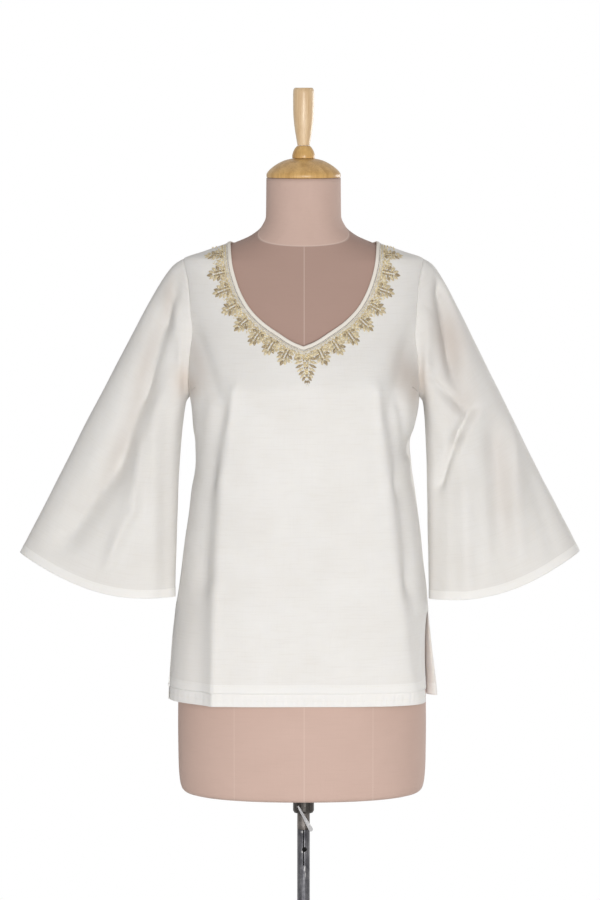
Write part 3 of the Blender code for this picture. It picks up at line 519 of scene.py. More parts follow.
POLE_CORE_RADIUS = 0.0086
SCUFF_COLOUR = (0.62, 0.62, 0.61, 1)
# Painted shade: the colour that stands for the dark inside of the slot and the hole.
HOLE_SHADE = (0.012, 0.012, 0.013, 1)
SCUFFS = ((0.0020, 0.4610, 0.0012, 0.0050), (0.0028, 0.4520, 0.0009, 0.0045),
          (-0.0016, 0.5140, 0.0030, 0.0020), (-0.0018, 0.4850, 0.0020, 0.0014))


def darker_inside(material, radius, marks):
    """Anything nearer to the axis than the bar's skin is a slot or a hole, and is painted dark as its
    shade.

    The marks are pale scuffs, each with its x, z and half sizes."""
    tree = material.node_tree
    shader = tree.nodes["Principled BSDF"]
    x, y, z = object_axes(tree)
    inside = math_node(tree, "LESS_THAN", math_node(tree, "SQRT", squared_away(tree, x, y)), radius)
    colour = group_colour(tree)
    for mark_x, mark_z, wide, high in marks:
        across = math_node(tree, "DIVIDE", subtract(tree, x, mark_x), wide)
        upward = math_node(tree, "DIVIDE", subtract(tree, z, mark_z), high)
        far = squared_away(tree, across, upward)
        colour = mixed(tree, ranged(tree, far, 0.3, 1.0, 0.75, 0.0), colour, SCUFF_COLOUR)
    tree.links.new(mixed(tree, inside, colour, HOLE_SHADE), shader.inputs["Base Color"])
    metallic = math_node(tree, "MULTIPLY_ADD", inside, -0.7, 0.7)
    tree.links.new(metallic, shader.inputs["Metallic"])
    specular = math_node(tree, "MULTIPLY_ADD", inside, -0.45, 0.5)
    tree.links.new(specular, shader.inputs["Specular IOR Level"])


darker_inside(POLE_STEEL, POLE_CORE_RADIUS, SCUFFS)
DARK_STEEL = steel("dark_steel", (0.15, 0.135, 0.12, 1), (0.035, 0.032, 0.03, 1), 0.25, 0.4)
PALE_STEEL = steel("lever_steel", (0.44, 0.44, 0.44, 1), (0.22, 0.22, 0.23, 1), 0.3, 0.6)
print("materials:", len(bpy.data.materials))

# %% [markdown]
# ## The garment's sizes
# The same named sizes and short tables that give the solids their shape are repeated here, in
# metres. A ring is a superellipse: its half width and depth come from the photo's outline, and
# its squareness says how flat the front hangs between its two long creases.

# %% Sizes and rings
CLOTH = 0.0016
SIDE_GAP = 0.0007
EDGE_GAP_FRONT = 0.0008
EDGE_GAP_BACK = 0.0013
HEM_Z = 0.7120
STRIP_TOP_Z = 0.7300
SLIT_TOP_Z = 0.8350
SLIT_DROP = SLIT_TOP_Z - HEM_Z
ARMPIT_Z = 1.1400
TIP_Z = 1.3320
BACK_NECK_Z = 1.3420
BINDING_WIDTH = 0.0055
BINDING_THICK = 0.0026
FORM_TOP_Z = 1.4462
REST = CLOTH / 2 + 0.0011
ARMHOLE_FRONT_CUT = 0.20
ARMHOLE_BACK_CUT = 0.15

RING = ("z", "half", "mid", "front", "back", "sf", "sb")
GARMENT = (
    (0.7000, 0.1925, -0.0010, 0.1300, 0.1340, 4.2, 2.7),
    (0.7310, 0.1905, -0.0015, 0.1290, 0.1340, 4.1, 2.7),
    (0.7650, 0.1870, -0.0025, 0.1280, 0.1345, 4.0, 2.7),
    (0.7990, 0.1835, -0.0030, 0.1270, 0.1345, 3.9, 2.6),
    (0.8340, 0.1795, -0.0025, 0.1260, 0.1335, 3.8, 2.6),
    (0.8700, 0.1750, -0.0010, 0.1250, 0.1300, 3.7, 2.5),
    (0.9020, 0.1710, -0.0010, 0.1245, 0.1240, 3.6, 2.5),
    (0.9360, 0.1672, -0.0005, 0.1240, 0.1180, 3.5, 2.4),
    (0.9700, 0.1625, 0.0000, 0.1240, 0.1120, 3.4, 2.4),
    (1.0050, 0.1580, -0.0005, 0.1250, 0.1080, 3.3, 2.4),
    (1.0390, 0.1528, 0.0000, 0.1280, 0.1075, 3.2, 2.4),
    (1.0700, 0.1515, -0.0015, 0.1315, 0.1090, 3.1, 2.4),
    (1.0950, 0.1560, 0.0000, 0.1350, 0.1110, 3.0, 2.4),
    (1.1240, 0.1600, 0.0020, 0.1380, 0.1130, 2.9, 2.4),
    (1.1500, 0.1630, 0.0010, 0.1375, 0.1150, 2.8, 2.4),
    (1.1800, 0.1650, 0.0000, 0.1290, 0.1165, 2.6, 2.4),
    (1.2150, 0.1675, 0.0000, 0.1140, 0.1165, 2.4, 2.3),
    (1.2500, 0.1700, 0.0000, 0.0995, 0.1140, 2.2, 2.2),
    (1.2850, 0.1725, 0.0000, 0.0860, 0.1060, 2.1, 2.1),
    (1.3100, 0.1735, 0.0000, 0.0760, 0.0950, 2.0, 2.0),
    (1.3240, 0.1725, 0.0000, 0.0700, 0.0850, 2.0, 2.0),
    (1.3320, 0.1690, 0.0000, 0.0665, 0.0780, 2.0, 2.0),
    (1.3420, 0.1420, 0.0000, 0.0625, 0.0690, 2.0, 2.0),
    (1.3560, 0.1020, 0.0000, 0.0575, 0.0600, 2.0, 2.0),
    (1.3680, 0.0750, 0.0000, 0.0550, 0.0560, 2.0, 2.0),
    (1.3800, 0.0610, 0.0000, 0.0535, 0.0545, 2.0, 2.0),
    (1.3950, 0.0548, 0.0000, 0.0530, 0.0535, 2.0, 2.0),
    (1.4500, 0.0542, 0.0000, 0.0530, 0.0530, 2.0, 2.0),
)
FORM_BLEND = (1.2300, 1.2900)
FORM = (
    (0.5720, 0.1610, -0.0021, 0.0990, 0.1050, 2.2, 2.2),
    (0.5740, 0.1675, -0.0021, 0.1040, 0.1110, 2.2, 2.2),
    (0.5790, 0.1718, -0.0021, 0.1068, 0.1150, 2.2, 2.2),
    (0.5900, 0.1745, -0.0021, 0.1088, 0.1175, 2.2, 2.2),
    (0.6150, 0.1762, -0.0021, 0.1105, 0.1200, 2.2, 2.2),
    (0.6700, 0.1768, -0.0021, 0.1115, 0.1225, 2.2, 2.2),
    (0.7400, 0.1758, -0.0021, 0.1110, 0.1245, 2.2, 2.2),
    (0.8000, 0.1714, -0.0015, 0.1100, 0.1250, 2.2, 2.2),
    (0.8600, 0.1636, -0.0007, 0.1080, 0.1170, 2.2, 2.2),
    (0.9200, 0.1490, 0.0, 0.0990, 0.0980, 2.2, 2.2),
    (0.9800, 0.1340, 0.0, 0.0900, 0.0810, 2.2, 2.2),
    (1.0300, 0.1325, 0.0, 0.0900, 0.0790, 2.2, 2.2),
    (1.0800, 0.1410, 0.0, 0.1010, 0.0870, 2.2, 2.2),
    (1.1300, 0.1500, 0.0, 0.1180, 0.0960, 2.3, 2.2),
    (1.1700, 0.1560, 0.0, 0.1190, 0.1010, 2.3, 2.2),
    (1.2150, 0.1600, 0.0, 0.1070, 0.1060, 2.3, 2.2),
    (1.2600, 0.1650, 0.0, 0.0920, 0.1060, 2.2, 2.2),
    (1.3000, 0.1680, 0.0, 0.0780, 0.0950, 2.0, 2.0),
)
NECKLINE = (
    (0.0000, 1.2155),
    (0.0160, 1.2222),
    (0.0325, 1.2325),
    (0.0580, 1.2500),
    (0.0775, 1.2710),
    (0.0915, 1.2985),
    (0.0999, 1.3300),
    (0.1025, 1.3560),
)
print("rings:", len(GARMENT), "and", len(FORM), "neckline rows:", len(NECKLINE))

# %% [markdown]
# A fold is a row too: a line from one point to another as seen from the front, with a width and
# a height that is negative for a trough. A simulation of the cloth would fall in its own way
# each time. Rows put each fold where the real tunic has it.

# %% Folds, cuffs and sleeve directions
FOLD = ("x0", "z0", "x1", "z1", "width", "height")
FRONT_FOLDS = (
    (-0.0962, 1.1510, -0.1147, 1.0300, 0.0100, 0.0030),
    (-0.1147, 1.0300, -0.1240, 0.8700, 0.0100, 0.0028),
    (-0.1240, 0.8700, -0.1275, 0.7000, 0.0090, 0.0036),
    (0.1019, 1.1557, 0.1176, 1.0200, 0.0100, 0.0030),
    (0.1176, 1.0200, 0.1347, 0.8850, 0.0110, 0.0026),
    (0.1347, 0.8850, 0.1640, 0.7100, 0.0120, 0.0024),
    (0.1347, 1.1340, 0.1475, 1.0630, 0.0090, -0.0026),
    (-0.1540, 1.2370, -0.1270, 1.1600, 0.0120, -0.0035),
    (0.1480, 1.2200, 0.1300, 1.1550, 0.0120, -0.0032),
    (-0.0500, 1.0000, -0.0620, 0.7600, 0.0260, 0.0016),
    (0.0520, 0.9800, 0.0640, 0.7400, 0.0260, 0.0014),
)
BACK_FOLDS = (
    (-0.0900, 1.1300, -0.1050, 0.7800, 0.0160, 0.0030),
    (0.0900, 1.1300, 0.1080, 0.7800, 0.0160, 0.0030),
    (-0.0350, 1.0600, -0.0420, 0.7200, 0.0200, -0.0026),
    (0.0380, 1.0600, 0.0450, 0.7200, 0.0200, -0.0026),
    (-0.1400, 1.2200, -0.1200, 1.1200, 0.0130, -0.0030),
    (0.1400, 1.2200, 0.1200, 1.1200, 0.0130, -0.0030),
)
SLEEVE_RIGHT_FOLDS = (
    (-0.1700, 1.3050, -0.1880, 1.2620, 0.0075, -0.0032),
    (-0.1820, 1.2550, -0.1640, 1.1900, 0.0110, 0.0040),
    (-0.1980, 1.2400, -0.2200, 1.1520, 0.0130, -0.0046),
    (-0.2200, 1.1520, -0.2600, 1.0500, 0.0150, -0.0048),
    (-0.2600, 1.0500, -0.3300, 0.9500, 0.0180, -0.0040),
    (-0.2440, 1.0000, -0.2700, 0.9250, 0.0100, 0.0036),
    (-0.2100, 1.1000, -0.2150, 0.9000, 0.0150, 0.0030),
)
SLEEVE_LEFT_FOLDS = (
    (0.1960, 1.2800, 0.2090, 1.1750, 0.0130, -0.0042),
    (0.1720, 1.2500, 0.1710, 1.1750, 0.0100, 0.0036),
    (0.1860, 1.1550, 0.2180, 1.1300, 0.0080, -0.0034),
    (0.2370, 1.1200, 0.2150, 1.0830, 0.0080, -0.0034),
    (0.2150, 1.0830, 0.1900, 1.0200, 0.0090, -0.0032),
    (0.2700, 1.0700, 0.2760, 0.9450, 0.0170, -0.0042),
    (0.2270, 1.0100, 0.2320, 0.8800, 0.0130, 0.0040),
    (0.2970, 1.0600, 0.3050, 0.9300, 0.0120, 0.0030),
)
CUFF = ("outer_x", "outer_z", "inner_x", "inner_z", "deep", "droop")
CUFF_RIGHT = (0.4020, 0.9160, 0.1825, 0.8530, 0.0450, 0.0200)
CUFF_LEFT = (0.3915, 0.9180, 0.1785, 0.8500, 0.0440, 0.0200)
SLEEVE_DIRECTION = ("turn", "out", "forward", "down", "start", "end")
SLEEVE_DIRECTIONS = (
    (0.00, 0.45, 0.00, 0.89, 0.020, 0.150),
    (0.10, 0.50, 0.10, 0.86, 0.030, 0.170),
    (0.25, 0.72, 0.16, 0.67, 0.050, 0.260),
    (0.40, 0.88, 0.10, 0.46, 0.036, 0.350),
    (0.50, 0.93, 0.00, 0.36, 0.030, 0.395),
    (0.60, 0.88, -0.10, 0.46, 0.036, 0.350),
    (0.75, 0.72, -0.16, 0.67, 0.050, 0.260),
    (0.90, 0.50, -0.10, 0.86, 0.030, 0.170),
    (1.00, 0.45, 0.00, 0.89, 0.020, 0.150),
)
print("folds of the front and the back:", len(FRONT_FOLDS), len(BACK_FOLDS))

# %% [markdown]
# The solids carry only the largest folds. The small creases of worn cloth are in tables of
# their own, and slow waves keep any wide flat stretch from looking like card.

# %% Creases and waves
FRONT_CREASES = (
    (-0.1160, 1.1150, -0.1340, 1.0300, 0.0130, -0.0060),
    (-0.1340, 1.0300, -0.1440, 0.8900, 0.0150, -0.0085),
    (-0.1440, 0.8900, -0.1470, 0.7400, 0.0150, -0.0035),
    (0.1225, 1.1200, 0.1390, 1.0200, 0.0120, -0.0075),
    (0.1390, 1.0200, 0.1520, 0.8850, 0.0140, -0.0085),
    (0.1520, 0.8850, 0.1680, 0.7600, 0.0140, -0.0065),
    (-0.1560, 1.2360, -0.1260, 1.1600, 0.0150, -0.0024),
    (0.1500, 1.2200, 0.1290, 1.1580, 0.0150, -0.0024),
    (-0.0962, 1.1540, -0.1040, 1.1000, 0.0045, 0.0020),
    (0.1015, 1.1560, 0.1060, 1.1050, 0.0045, 0.0020),
    (0.1380, 1.1300, 0.1500, 1.0600, 0.0055, -0.0026),
    (-0.1400, 1.1400, -0.1480, 1.0700, 0.0060, -0.0014),
    (-0.1270, 0.8400, -0.1275, 0.7060, 0.0030, 0.0010),
    (0.0700, 0.8200, 0.0900, 0.7100, 0.0140, -0.0008),
    (-0.0300, 0.8000, -0.0360, 0.7060, 0.0180, 0.0008),
)
BACK_CREASES = (
    (-0.1400, 1.1000, -0.1450, 1.0400, 0.0060, -0.0014),
    (0.1400, 1.1000, 0.1450, 1.0400, 0.0060, -0.0014),
    (0.0000, 1.0300, 0.0100, 0.9000, 0.0160, 0.0014),
    (-0.0880, 1.1300, -0.1120, 0.7700, 0.0110, -0.0019),
    (0.0820, 1.1000, 0.1040, 0.7500, 0.0120, -0.0019),
    (0.0280, 0.9900, 0.0420, 0.7600, 0.0100, -0.0015),
    (-0.0460, 0.9700, -0.0540, 0.7500, 0.0110, 0.0015),
)
SLEEVE_RIGHT_CREASES = (
    (-0.2020, 1.2400, -0.2300, 1.1400, 0.0160, -0.0075),
    (-0.2300, 1.1400, -0.2650, 1.0400, 0.0190, -0.0095),
    (-0.2650, 1.0400, -0.3200, 0.9550, 0.0230, -0.0085),
    (-0.2316, 1.0720, -0.2400, 0.9820, 0.0080, 0.0034),
    (-0.2400, 0.9820, -0.2757, 0.9050, 0.0080, 0.0034),
    (-0.1840, 1.2800, -0.1700, 1.2400, 0.0060, 0.0026),
    (-0.1760, 1.3060, -0.1900, 1.2480, 0.0090, -0.0055),
    (-0.1720, 1.2200, -0.1760, 1.1500, 0.0050, 0.0014),
    (-0.2100, 1.2200, -0.2330, 1.1200, 0.0060, 0.0012),
    (-0.2700, 1.0600, -0.3300, 0.9600, 0.0070, 0.0014),
    (-0.1950, 1.1400, -0.1960, 0.8600, 0.0130, -0.0028),
)
SLEEVE_LEFT_CREASES = (
    (0.1980, 1.2900, 0.2110, 1.1950, 0.0120, -0.0105),
    (0.2110, 1.1950, 0.2240, 1.1300, 0.0120, -0.0055),
    (0.1640, 1.2600, 0.1700, 1.1900, 0.0090, 0.0034),
    (0.2365, 1.1220, 0.2165, 1.0850, 0.0055, -0.0030),
    (0.2165, 1.0850, 0.1910, 1.0200, 0.0055, -0.0030),
    (0.2450, 1.1120, 0.2250, 1.0760, 0.0070, 0.0020),
    (0.2720, 1.0900, 0.2860, 0.9300, 0.0180, -0.0045),
    (0.2960, 1.0900, 0.2960, 0.9600, 0.0070, 0.0020),
    (0.1590, 1.3060, 0.1560, 1.2800, 0.0060, -0.0026),
    (0.1560, 1.2800, 0.1745, 1.2650, 0.0060, -0.0030),
    (0.1900, 1.2850, 0.1980, 1.2300, 0.0040, -0.0012),
    (0.1860, 1.1600, 0.2160, 1.1320, 0.0040, -0.0018),
    (0.2370, 1.1220, 0.2160, 1.0850, 0.0040, -0.0014),
    (0.2160, 1.0850, 0.1930, 1.0250, 0.0045, -0.0012),
    (0.1900, 1.0600, 0.1900, 0.8700, 0.0110, -0.0030),
    (0.2560, 1.0000, 0.2620, 0.8900, 0.0090, 0.0014),
    (0.3250, 1.0200, 0.3500, 0.9300, 0.0120, -0.0026),
)


def deeper(folds, times):
    """The same folds, fallen in further: the fine cloth is thinner than its solid."""
    return tuple(row[:-1] + (row[-1] * times,) for row in folds)


def slow_waves(points, amount):
    """A few fixed sine waves laid over each other, no two the same length."""
    x, y, z = points[:, 0], points[:, 1], points[:, 2]
    total = np.sin(31 * x + 9 * z + 1.3) + 0.8 * np.sin(17 * z - 23 * x + 0.4)
    total += 0.6 * np.sin(53 * x - 14 * z + 2.1) + 0.5 * np.sin(41 * z + 27 * y + 0.9)
    total += 0.35 * np.sin(88 * x + 37 * z + 0.2) + 0.3 * np.sin(97 * z - 61 * x + 1.9)
    return total * amount


# %% [markdown]
# ## Shape functions
# The curve through a table is a monotone cubic, so it never overshoots between its rows. A point
# of a panel is a share of the way round its ring, moved out by the folds it lies under.

# %% Curves and rings
def tangents(x, y):
    """Slopes that keep a curve through (x, y) monotone between its rows."""
    step = np.diff(y) / np.diff(x)
    slope = np.zeros(len(x))
    slope[0] = step[0]
    slope[-1] = step[-1]
    for i in range(1, len(x) - 1):
        if step[i - 1] * step[i] > 0:
            slope[i] = 2 * step[i - 1] * step[i] / (step[i - 1] + step[i])
    return slope


def curve_at(x, y, where):
    """Cubic Hermite curve through the rows of a table."""
    x = np.asarray(x, float)
    y = np.asarray(y, float)
    slope = tangents(x, y)
    where = np.clip(np.asarray(where, float), x[0], x[-1])
    i = np.clip(np.searchsorted(x, where, side="right") - 1, 0, len(x) - 2)
    width = x[i + 1] - x[i]
    t = (where - x[i]) / width
    a = (1 + 2 * t) * (1 - t) ** 2 * y[i]
    b = t * (1 - t) ** 2 * width * slope[i]
    c = t * t * (3 - 2 * t) * y[i + 1]
    d = t * t * (t - 1) * width * slope[i + 1]
    return a + b + c + d


def column(table, names, name, where):
    """One named column of a table at the values given for its first column."""
    rows = np.array(table)
    return curve_at(rows[:, 0], rows[:, names.index(name)], where)


def ramp(value, low, high):
    """Smooth step from 0 at low to 1 at high."""
    t = np.clip((value - low) / (high - low), 0, 1)
    return t * t * (3 - 2 * t)


def side_edges(side, z):
    """Half width of a panel, the shift of its middle and the y of its side edges.

    Below the slits' tops the two panels part: the front is narrower on the wearer's left."""
    half = column(GARMENT, RING, "half", z)
    parted = np.clip((SLIT_TOP_Z - z) / SLIT_DROP, 0, 1) ** 0.6
    if side < 0:
        return half - 0.0103 * parted, -0.0082 * parted, -SIDE_GAP / 2 - 0.038 * parted
    return half, 0 * parted, SIDE_GAP / 2 + 0.010 * parted


def arc(side, z, samples=121):
    """Dense points of one panel's ring at each z, from -x to +x, with their distance along it."""
    z = np.atleast_1d(np.asarray(z, float))
    half, shift, edge = side_edges(side, z)
    mid = column(GARMENT, RING, "mid", z) + shift
    deep = column(GARMENT, RING, "front" if side < 0 else "back", z) - abs(edge)
    square = column(GARMENT, RING, "sf" if side < 0 else "sb", z)
    turn = np.linspace(-math.pi / 2, math.pi / 2, samples)
    power = (2 / square)[:, None]
    across = np.sign(np.sin(turn)) * np.abs(np.sin(turn)) ** power
    depth = np.abs(np.cos(turn)) ** power
    depth[:, 0] = 0
    depth[:, -1] = 0
    x = mid[:, None] + half[:, None] * across
    y = np.asarray(edge)[:, None] + side * deep[:, None] * depth
    steps = np.hypot(np.diff(x, axis=1), np.diff(y, axis=1))
    along = np.concatenate([np.zeros((len(z), 1)), np.cumsum(steps, axis=1)], axis=1)
    return x, y, along


# %% [markdown]
# Working out each point along its own ring would take most of a minute. So each panel's surface
# is measured once on a fine grid, a millimetre apart, and every later point is read between the
# four grid points round it.


# %% Surface grid
GRID_LOW = 0.7000
GRID_STEP = 0.0010
GRID_ROWS = 751
GRID_COLUMNS = 441


def surface_grid(side):
    heights = GRID_LOW + GRID_STEP * np.arange(GRID_ROWS)
    x, y, along = arc(side, heights, 361)
    shares = np.linspace(0, 1, GRID_COLUMNS)
    grid = np.zeros((GRID_ROWS, GRID_COLUMNS, 2))
    for i in range(GRID_ROWS):
        grid[i, :, 0] = np.interp(shares * along[i, -1], along[i], x[i])
        grid[i, :, 1] = np.interp(shares * along[i, -1], along[i], y[i])
    return grid


SURFACE = {side: surface_grid(side) for side in (-1, 1)}
print("surface grids:", [grid.shape for grid in SURFACE.values()])


def ring_point(side, s, z):
    """Points of a panel's middle surface: s runs from -1 at the -x side to +1 at the +x side."""
    s = np.atleast_1d(np.clip(np.asarray(s, float), -1, 1))
    z = np.atleast_1d(np.asarray(z, float))
    s, z = np.broadcast_arrays(s, z)
    down = np.clip((z - GRID_LOW) / GRID_STEP, 0, GRID_ROWS - 1.000001)
    over = (s + 1) / 2 * (GRID_COLUMNS - 1.000001)
    i = down.astype(int)
    j = over.astype(int)
    a = (down - i)[:, None]
    b = (over - j)[:, None]
    grid = SURFACE[side]
    low = grid[i, j] * (1 - b) + grid[i, j + 1] * b
    high = grid[i + 1, j] * (1 - b) + grid[i + 1, j + 1] * b
    return np.column_stack([low * (1 - a) + high * a, z])


def share_at(side, x, z):
    """The s of the point of the ring at z that has this x."""
    xs, _, along = arc(side, z)
    found = np.zeros(len(xs))
    for i in range(len(xs)):
        found[i] = 2 * np.interp(x[i], xs[i], along[i]) / along[i, -1] - 1
    return found


def unit(vectors):
    return vectors / np.maximum(np.linalg.norm(vectors, axis=-1, keepdims=True), 1e-12)


def ring_normal(side, s, z):
    """Outward normals of the ring surface, by small differences."""
    ds = 0.01
    dz = 0.002
    s0 = np.clip(s - ds, -1, 1)
    s1 = np.clip(s + ds, -1, 1)
    along = ring_point(side, s1, z) - ring_point(side, s0, z)
    top = np.minimum(z + dz, 1.449)
    up = ring_point(side, s, top) - ring_point(side, s, top - 2 * dz)
    return unit(np.cross(along, up)) * (1 if side < 0 else -1)


def fold_height(folds, points):
    """Sum of the folds at the points, by their distance to each fold's line as seen from the front."""
    total = np.zeros(len(points))
    for row in folds:
        fold = dict(zip(FOLD, row))
        start = np.array([fold["x0"], fold["z0"]])
        run = np.array([fold["x1"], fold["z1"]]) - start
        length = np.linalg.norm(run)
        run = run / length
        away = points[:, [0, 2]] - start
        along = away @ run
        beyond = np.maximum(np.maximum(-along, along - length), 0) * 0.6
        aside = away[:, 0] * run[1] - away[:, 1] * run[0]
        distance = np.hypot(aside, beyond)
        total += fold["height"] * np.exp(-((distance / fold["width"]) ** 2))
    return total


# %% [markdown]
# Beside the slit at the left of the picture the front falls back in a flat facet. Its soft edge
# starts under the arm and it has its full depth from the slit's top down to the hem, so it is a
# shape of its own and not one of the folds.


# %% Panel points with folds, creases and waves
FACET = {"turn": 0.74, "reach": 0.085, "soft": 0.0060}
FACET_PLACE = ("z", "edge_x", "share")
FACET_LINE = (
    (0.7000, -0.1275, 1.0),
    (0.8450, -0.1247, 1.0),
    (0.9590, -0.1204, 0.55),
    (1.0300, -0.1147, 0.55),
    (1.0940, -0.1076, 0.25),
    (1.1300, -0.1010, 0.0),
)


def facet_depth(side, points, s):
    """How far the cloth falls back beside the long crease on the left, most right beside it."""
    if side > 0:
        return np.zeros(len(points))
    z = np.clip(points[:, 2], 0.70, 1.13)
    past = column(FACET_LINE, FACET_PLACE, "edge_x", z) - points[:, 0]
    past = (past + np.sqrt(past * past + FACET["soft"] ** 2)) / 2
    fall = FACET["turn"] * FACET["reach"] * (1 - np.exp(-past / FACET["reach"]))
    return fall * column(FACET_LINE, FACET_PLACE, "share", z) * (1 - ramp(-s, 0.88, 1.0))


FLARE = {"depth": 0.0150, "peak": 0.0200, "end": 0.0700}


def edge_swing(side, points, s):
    """The front's free edges swing forward below the slits' tops, so that they catch the light."""
    if side > 0:
        return np.zeros(len(points))
    parted = np.clip((SLIT_TOP_Z - points[:, 2]) / SLIT_DROP, 0, 1) ** 0.8
    return -0.0105 * parted * ramp(-s, 0.80, 1.0)


def slit_flare(side, points, s):
    """The free edges of the back turn out a little beside the slits, so that they face forward."""
    if side < 0:
        return np.zeros(len(points))
    from_edge = (1 - np.abs(s)) * 0.275
    parted = np.clip((SLIT_TOP_Z - points[:, 2]) / SLIT_DROP, 0, 1) ** 0.7
    bump = from_edge / FLARE["peak"] * np.exp(1 - from_edge / FLARE["peak"])
    bump = bump * (1 - ramp(from_edge, FLARE["peak"] * 1.5, FLARE["end"]))
    tuck = 0.0050 * parted * ramp(-s, 0.85, 1.0)
    return tuck - np.sign(points[:, 0]) * FLARE["depth"] * parted * bump


def panel_point(side, s, z):
    points = ring_point(side, s, z)
    s, z = np.broadcast_arrays(np.atleast_1d(s), np.atleast_1d(z))
    points[:, 1] += facet_depth(side, points, s) + edge_swing(side, points, s)
    points[:, 0] += slit_flare(side, points, s)
    normals = ring_normal(side, s, z)
    folds = FRONT_FOLDS + FRONT_CREASES if side < 0 else BACK_FOLDS + BACK_CREASES
    calm = 1 - ramp(z, 1.22, 1.27)
    calm = calm * (1 - ramp(np.abs(s), 0.955, 1.0) * ramp(z, 0.80, 0.86))
    calm = calm * (1 - ramp(np.abs(s), 0.86, 0.965) * (1 - ramp(z, 0.84, 0.90)))
    height = fold_height(folds, points) + slow_waves(points, 0.00025)
    return points + normals * (height * calm)[:, None]


def panel_normal(side, s, z):
    ds = 0.006
    dz = 0.0015
    before = panel_point(side, np.clip(s - ds, -1, 1), z)
    along = panel_point(side, np.clip(s + ds, -1, 1), z) - before
    top = np.minimum(z + dz, 1.449)
    up = panel_point(side, s, top) - panel_point(side, s, top - 2 * dz)
    return unit(np.cross(along, up)) * (1 if side < 0 else -1)


def neckline_xz(t):
    """Half the front neckline as seen from the front: t is 0 at the V's point, 1 at the shoulder."""
    rows = np.array(NECKLINE)
    steps = np.hypot(*np.diff(rows, axis=0).T)
    along = np.concatenate([[0], np.cumsum(steps)]) / steps.sum()
    return curve_at(along, rows[:, 0], t), curve_at(along, rows[:, 1], t)


def neckline_moved(t, out):
    """The neckline moved outward, as seen from the front, by the distance out."""
    t = np.asarray(t, float)
    x, z = neckline_xz(t)
    x0, z0 = neckline_xz(np.clip(t - 0.02, 0, 1))
    x1, z1 = neckline_xz(np.clip(t + 0.02, 0, 1))
    run = unit(np.stack([x1 - x0, z1 - z0], axis=1))
    straight = 1 - ramp(t, 0.0, 0.09)
    aside = run[:, 1] * (1 - straight)
    down = -run[:, 0] * (1 - straight) - straight
    size = np.hypot(aside, down)
    return x + out * aside / size, z + out * down / size


def neckline_share(side, t, out):
    """(s, z) along the half neckline of the front (side -1) or the back (side 1), moved outward."""
    t = np.asarray(t, float)
    out = np.broadcast_to(np.asarray(out, float), t.shape)
    if side < 0:
        x, z = neckline_moved(t, out)
    else:
        x = (NECKLINE[-1][0] + out) * np.sin(t * math.pi / 2)
        top = NECKLINE[-1][1]
        z = top - (top - BACK_NECK_Z) * np.cos(t * math.pi / 2) ** 1.3 - out * np.cos(t * math.pi / 2)
    rings = np.array(GARMENT)
    high = rings[(rings[:, 0] > 1.325) & (rings[:, 0] < 1.385)]
    ridge = curve_at(high[::-1, 1], high[::-1, 0], np.clip(x, 0.061, 0.172))
    z = np.minimum(z, ridge)
    s = share_at(side, x, z)
    return np.where((t > 0.9999) | (z > ridge - 1e-6), 1.0, s), z


def armhole_share(side, t):
    """(s, z) along the armhole, t from 0 at the underarm to 1 at the shoulder tip."""
    t = np.asarray(t, float)
    cut = ARMHOLE_FRONT_CUT if side < 0 else ARMHOLE_BACK_CUT
    s = 1 - cut * np.sin(math.pi * t) ** 0.85
    z = ARMPIT_Z + (TIP_Z - ARMPIT_Z) * (1 - np.cos(math.pi * t)) / 2
    return s, z


def edge_gap(side):
    return EDGE_GAP_FRONT if side < 0 else EDGE_GAP_BACK


# %% [markdown]
# ## Sewing cloth from rows
# A cloth piece is a stack of rows of points. Each row also keeps how far across and along the
# cloth its points lie, in metres, which becomes the UV map that the weave follows.

# %% Cloth builder
class Cloth:
    """Rows of points joined into four-sided faces, with the cloth's own measure at each corner."""

    def __init__(self):
        self.points = []
        self.faces = []
        self.corners = []

    def row(self, points, across, along):
        start = len(self.points)
        self.points.extend(tuple(map(float, p)) for p in points)
        return list(range(start, start + len(points))), list(across), list(along)

    def join(self, lower, upper, around=False, turned=False):
        a, a_across, a_along = lower
        b, b_across, b_along = upper
        count = len(a)
        for i in range(count if around else count - 1):
            j = (i + 1) % count
            face = [a[i], a[j], b[j], b[i]]
            uv = [(a_across[i], a_along[i]), (a_across[i + 1], a_along[i + 1]),
                  (b_across[i + 1], b_along[i + 1]), (b_across[i], b_along[i])]
            if turned:
                face.reverse()
                uv.reverse()
            self.faces.append(face)
            self.corners.append(uv)

    def make(self, name, material):
        mesh = bpy.data.meshes.new(name)
        mesh.from_pydata(self.points, [], self.faces)
        layer = mesh.uv_layers.new(name="cloth")
        flat = [value for face in self.corners for corner in face for value in corner]
        layer.data.foreach_set("uv", flat)
        mesh.materials.append(material)
        mesh.update()
        mesh.shade_smooth()
        return in_scene(name, mesh)

    def area(self):
        corners = np.array(self.points)[np.array(self.faces)]
        first = corners[:, 0]
        a = np.cross(corners[:, 1] - first, corners[:, 2] - first)
        b = np.cross(corners[:, 2] - first, corners[:, 3] - first)
        return float((np.linalg.norm(a, axis=1).sum() + np.linalg.norm(b, axis=1).sum()) / 2)


def settle(item):
    """Turns the object with its modifiers into a plain mesh, and takes the modifiers off."""
    graph = bpy.context.evaluated_depsgraph_get()
    mesh = bpy.data.meshes.new_from_object(item.evaluated_get(graph))
    item.modifiers.clear()
    item.data = mesh
    return item


def give_wall(item, thickness, offset=0.0):
    wall = item.modifiers.new("wall", "SOLIDIFY")
    wall.thickness = thickness
    wall.offset = offset
    wall.use_rim = True
    return settle(item)


# %% [markdown]
# ## Front and back
# Full rows run from the hem up to a line from the armpits to the neck. Above it each side of the
# neck is its own patch, ruled between the armhole and the neckline. The hem is turned up twice,
# so the cloth there is a little thicker and whiter.

# %% Panel builder
SHELL = 0.0009
BAND_STEP = 0.00035
BACK_HEM_DROP = 0.0035
HALF_PANEL = 0.225


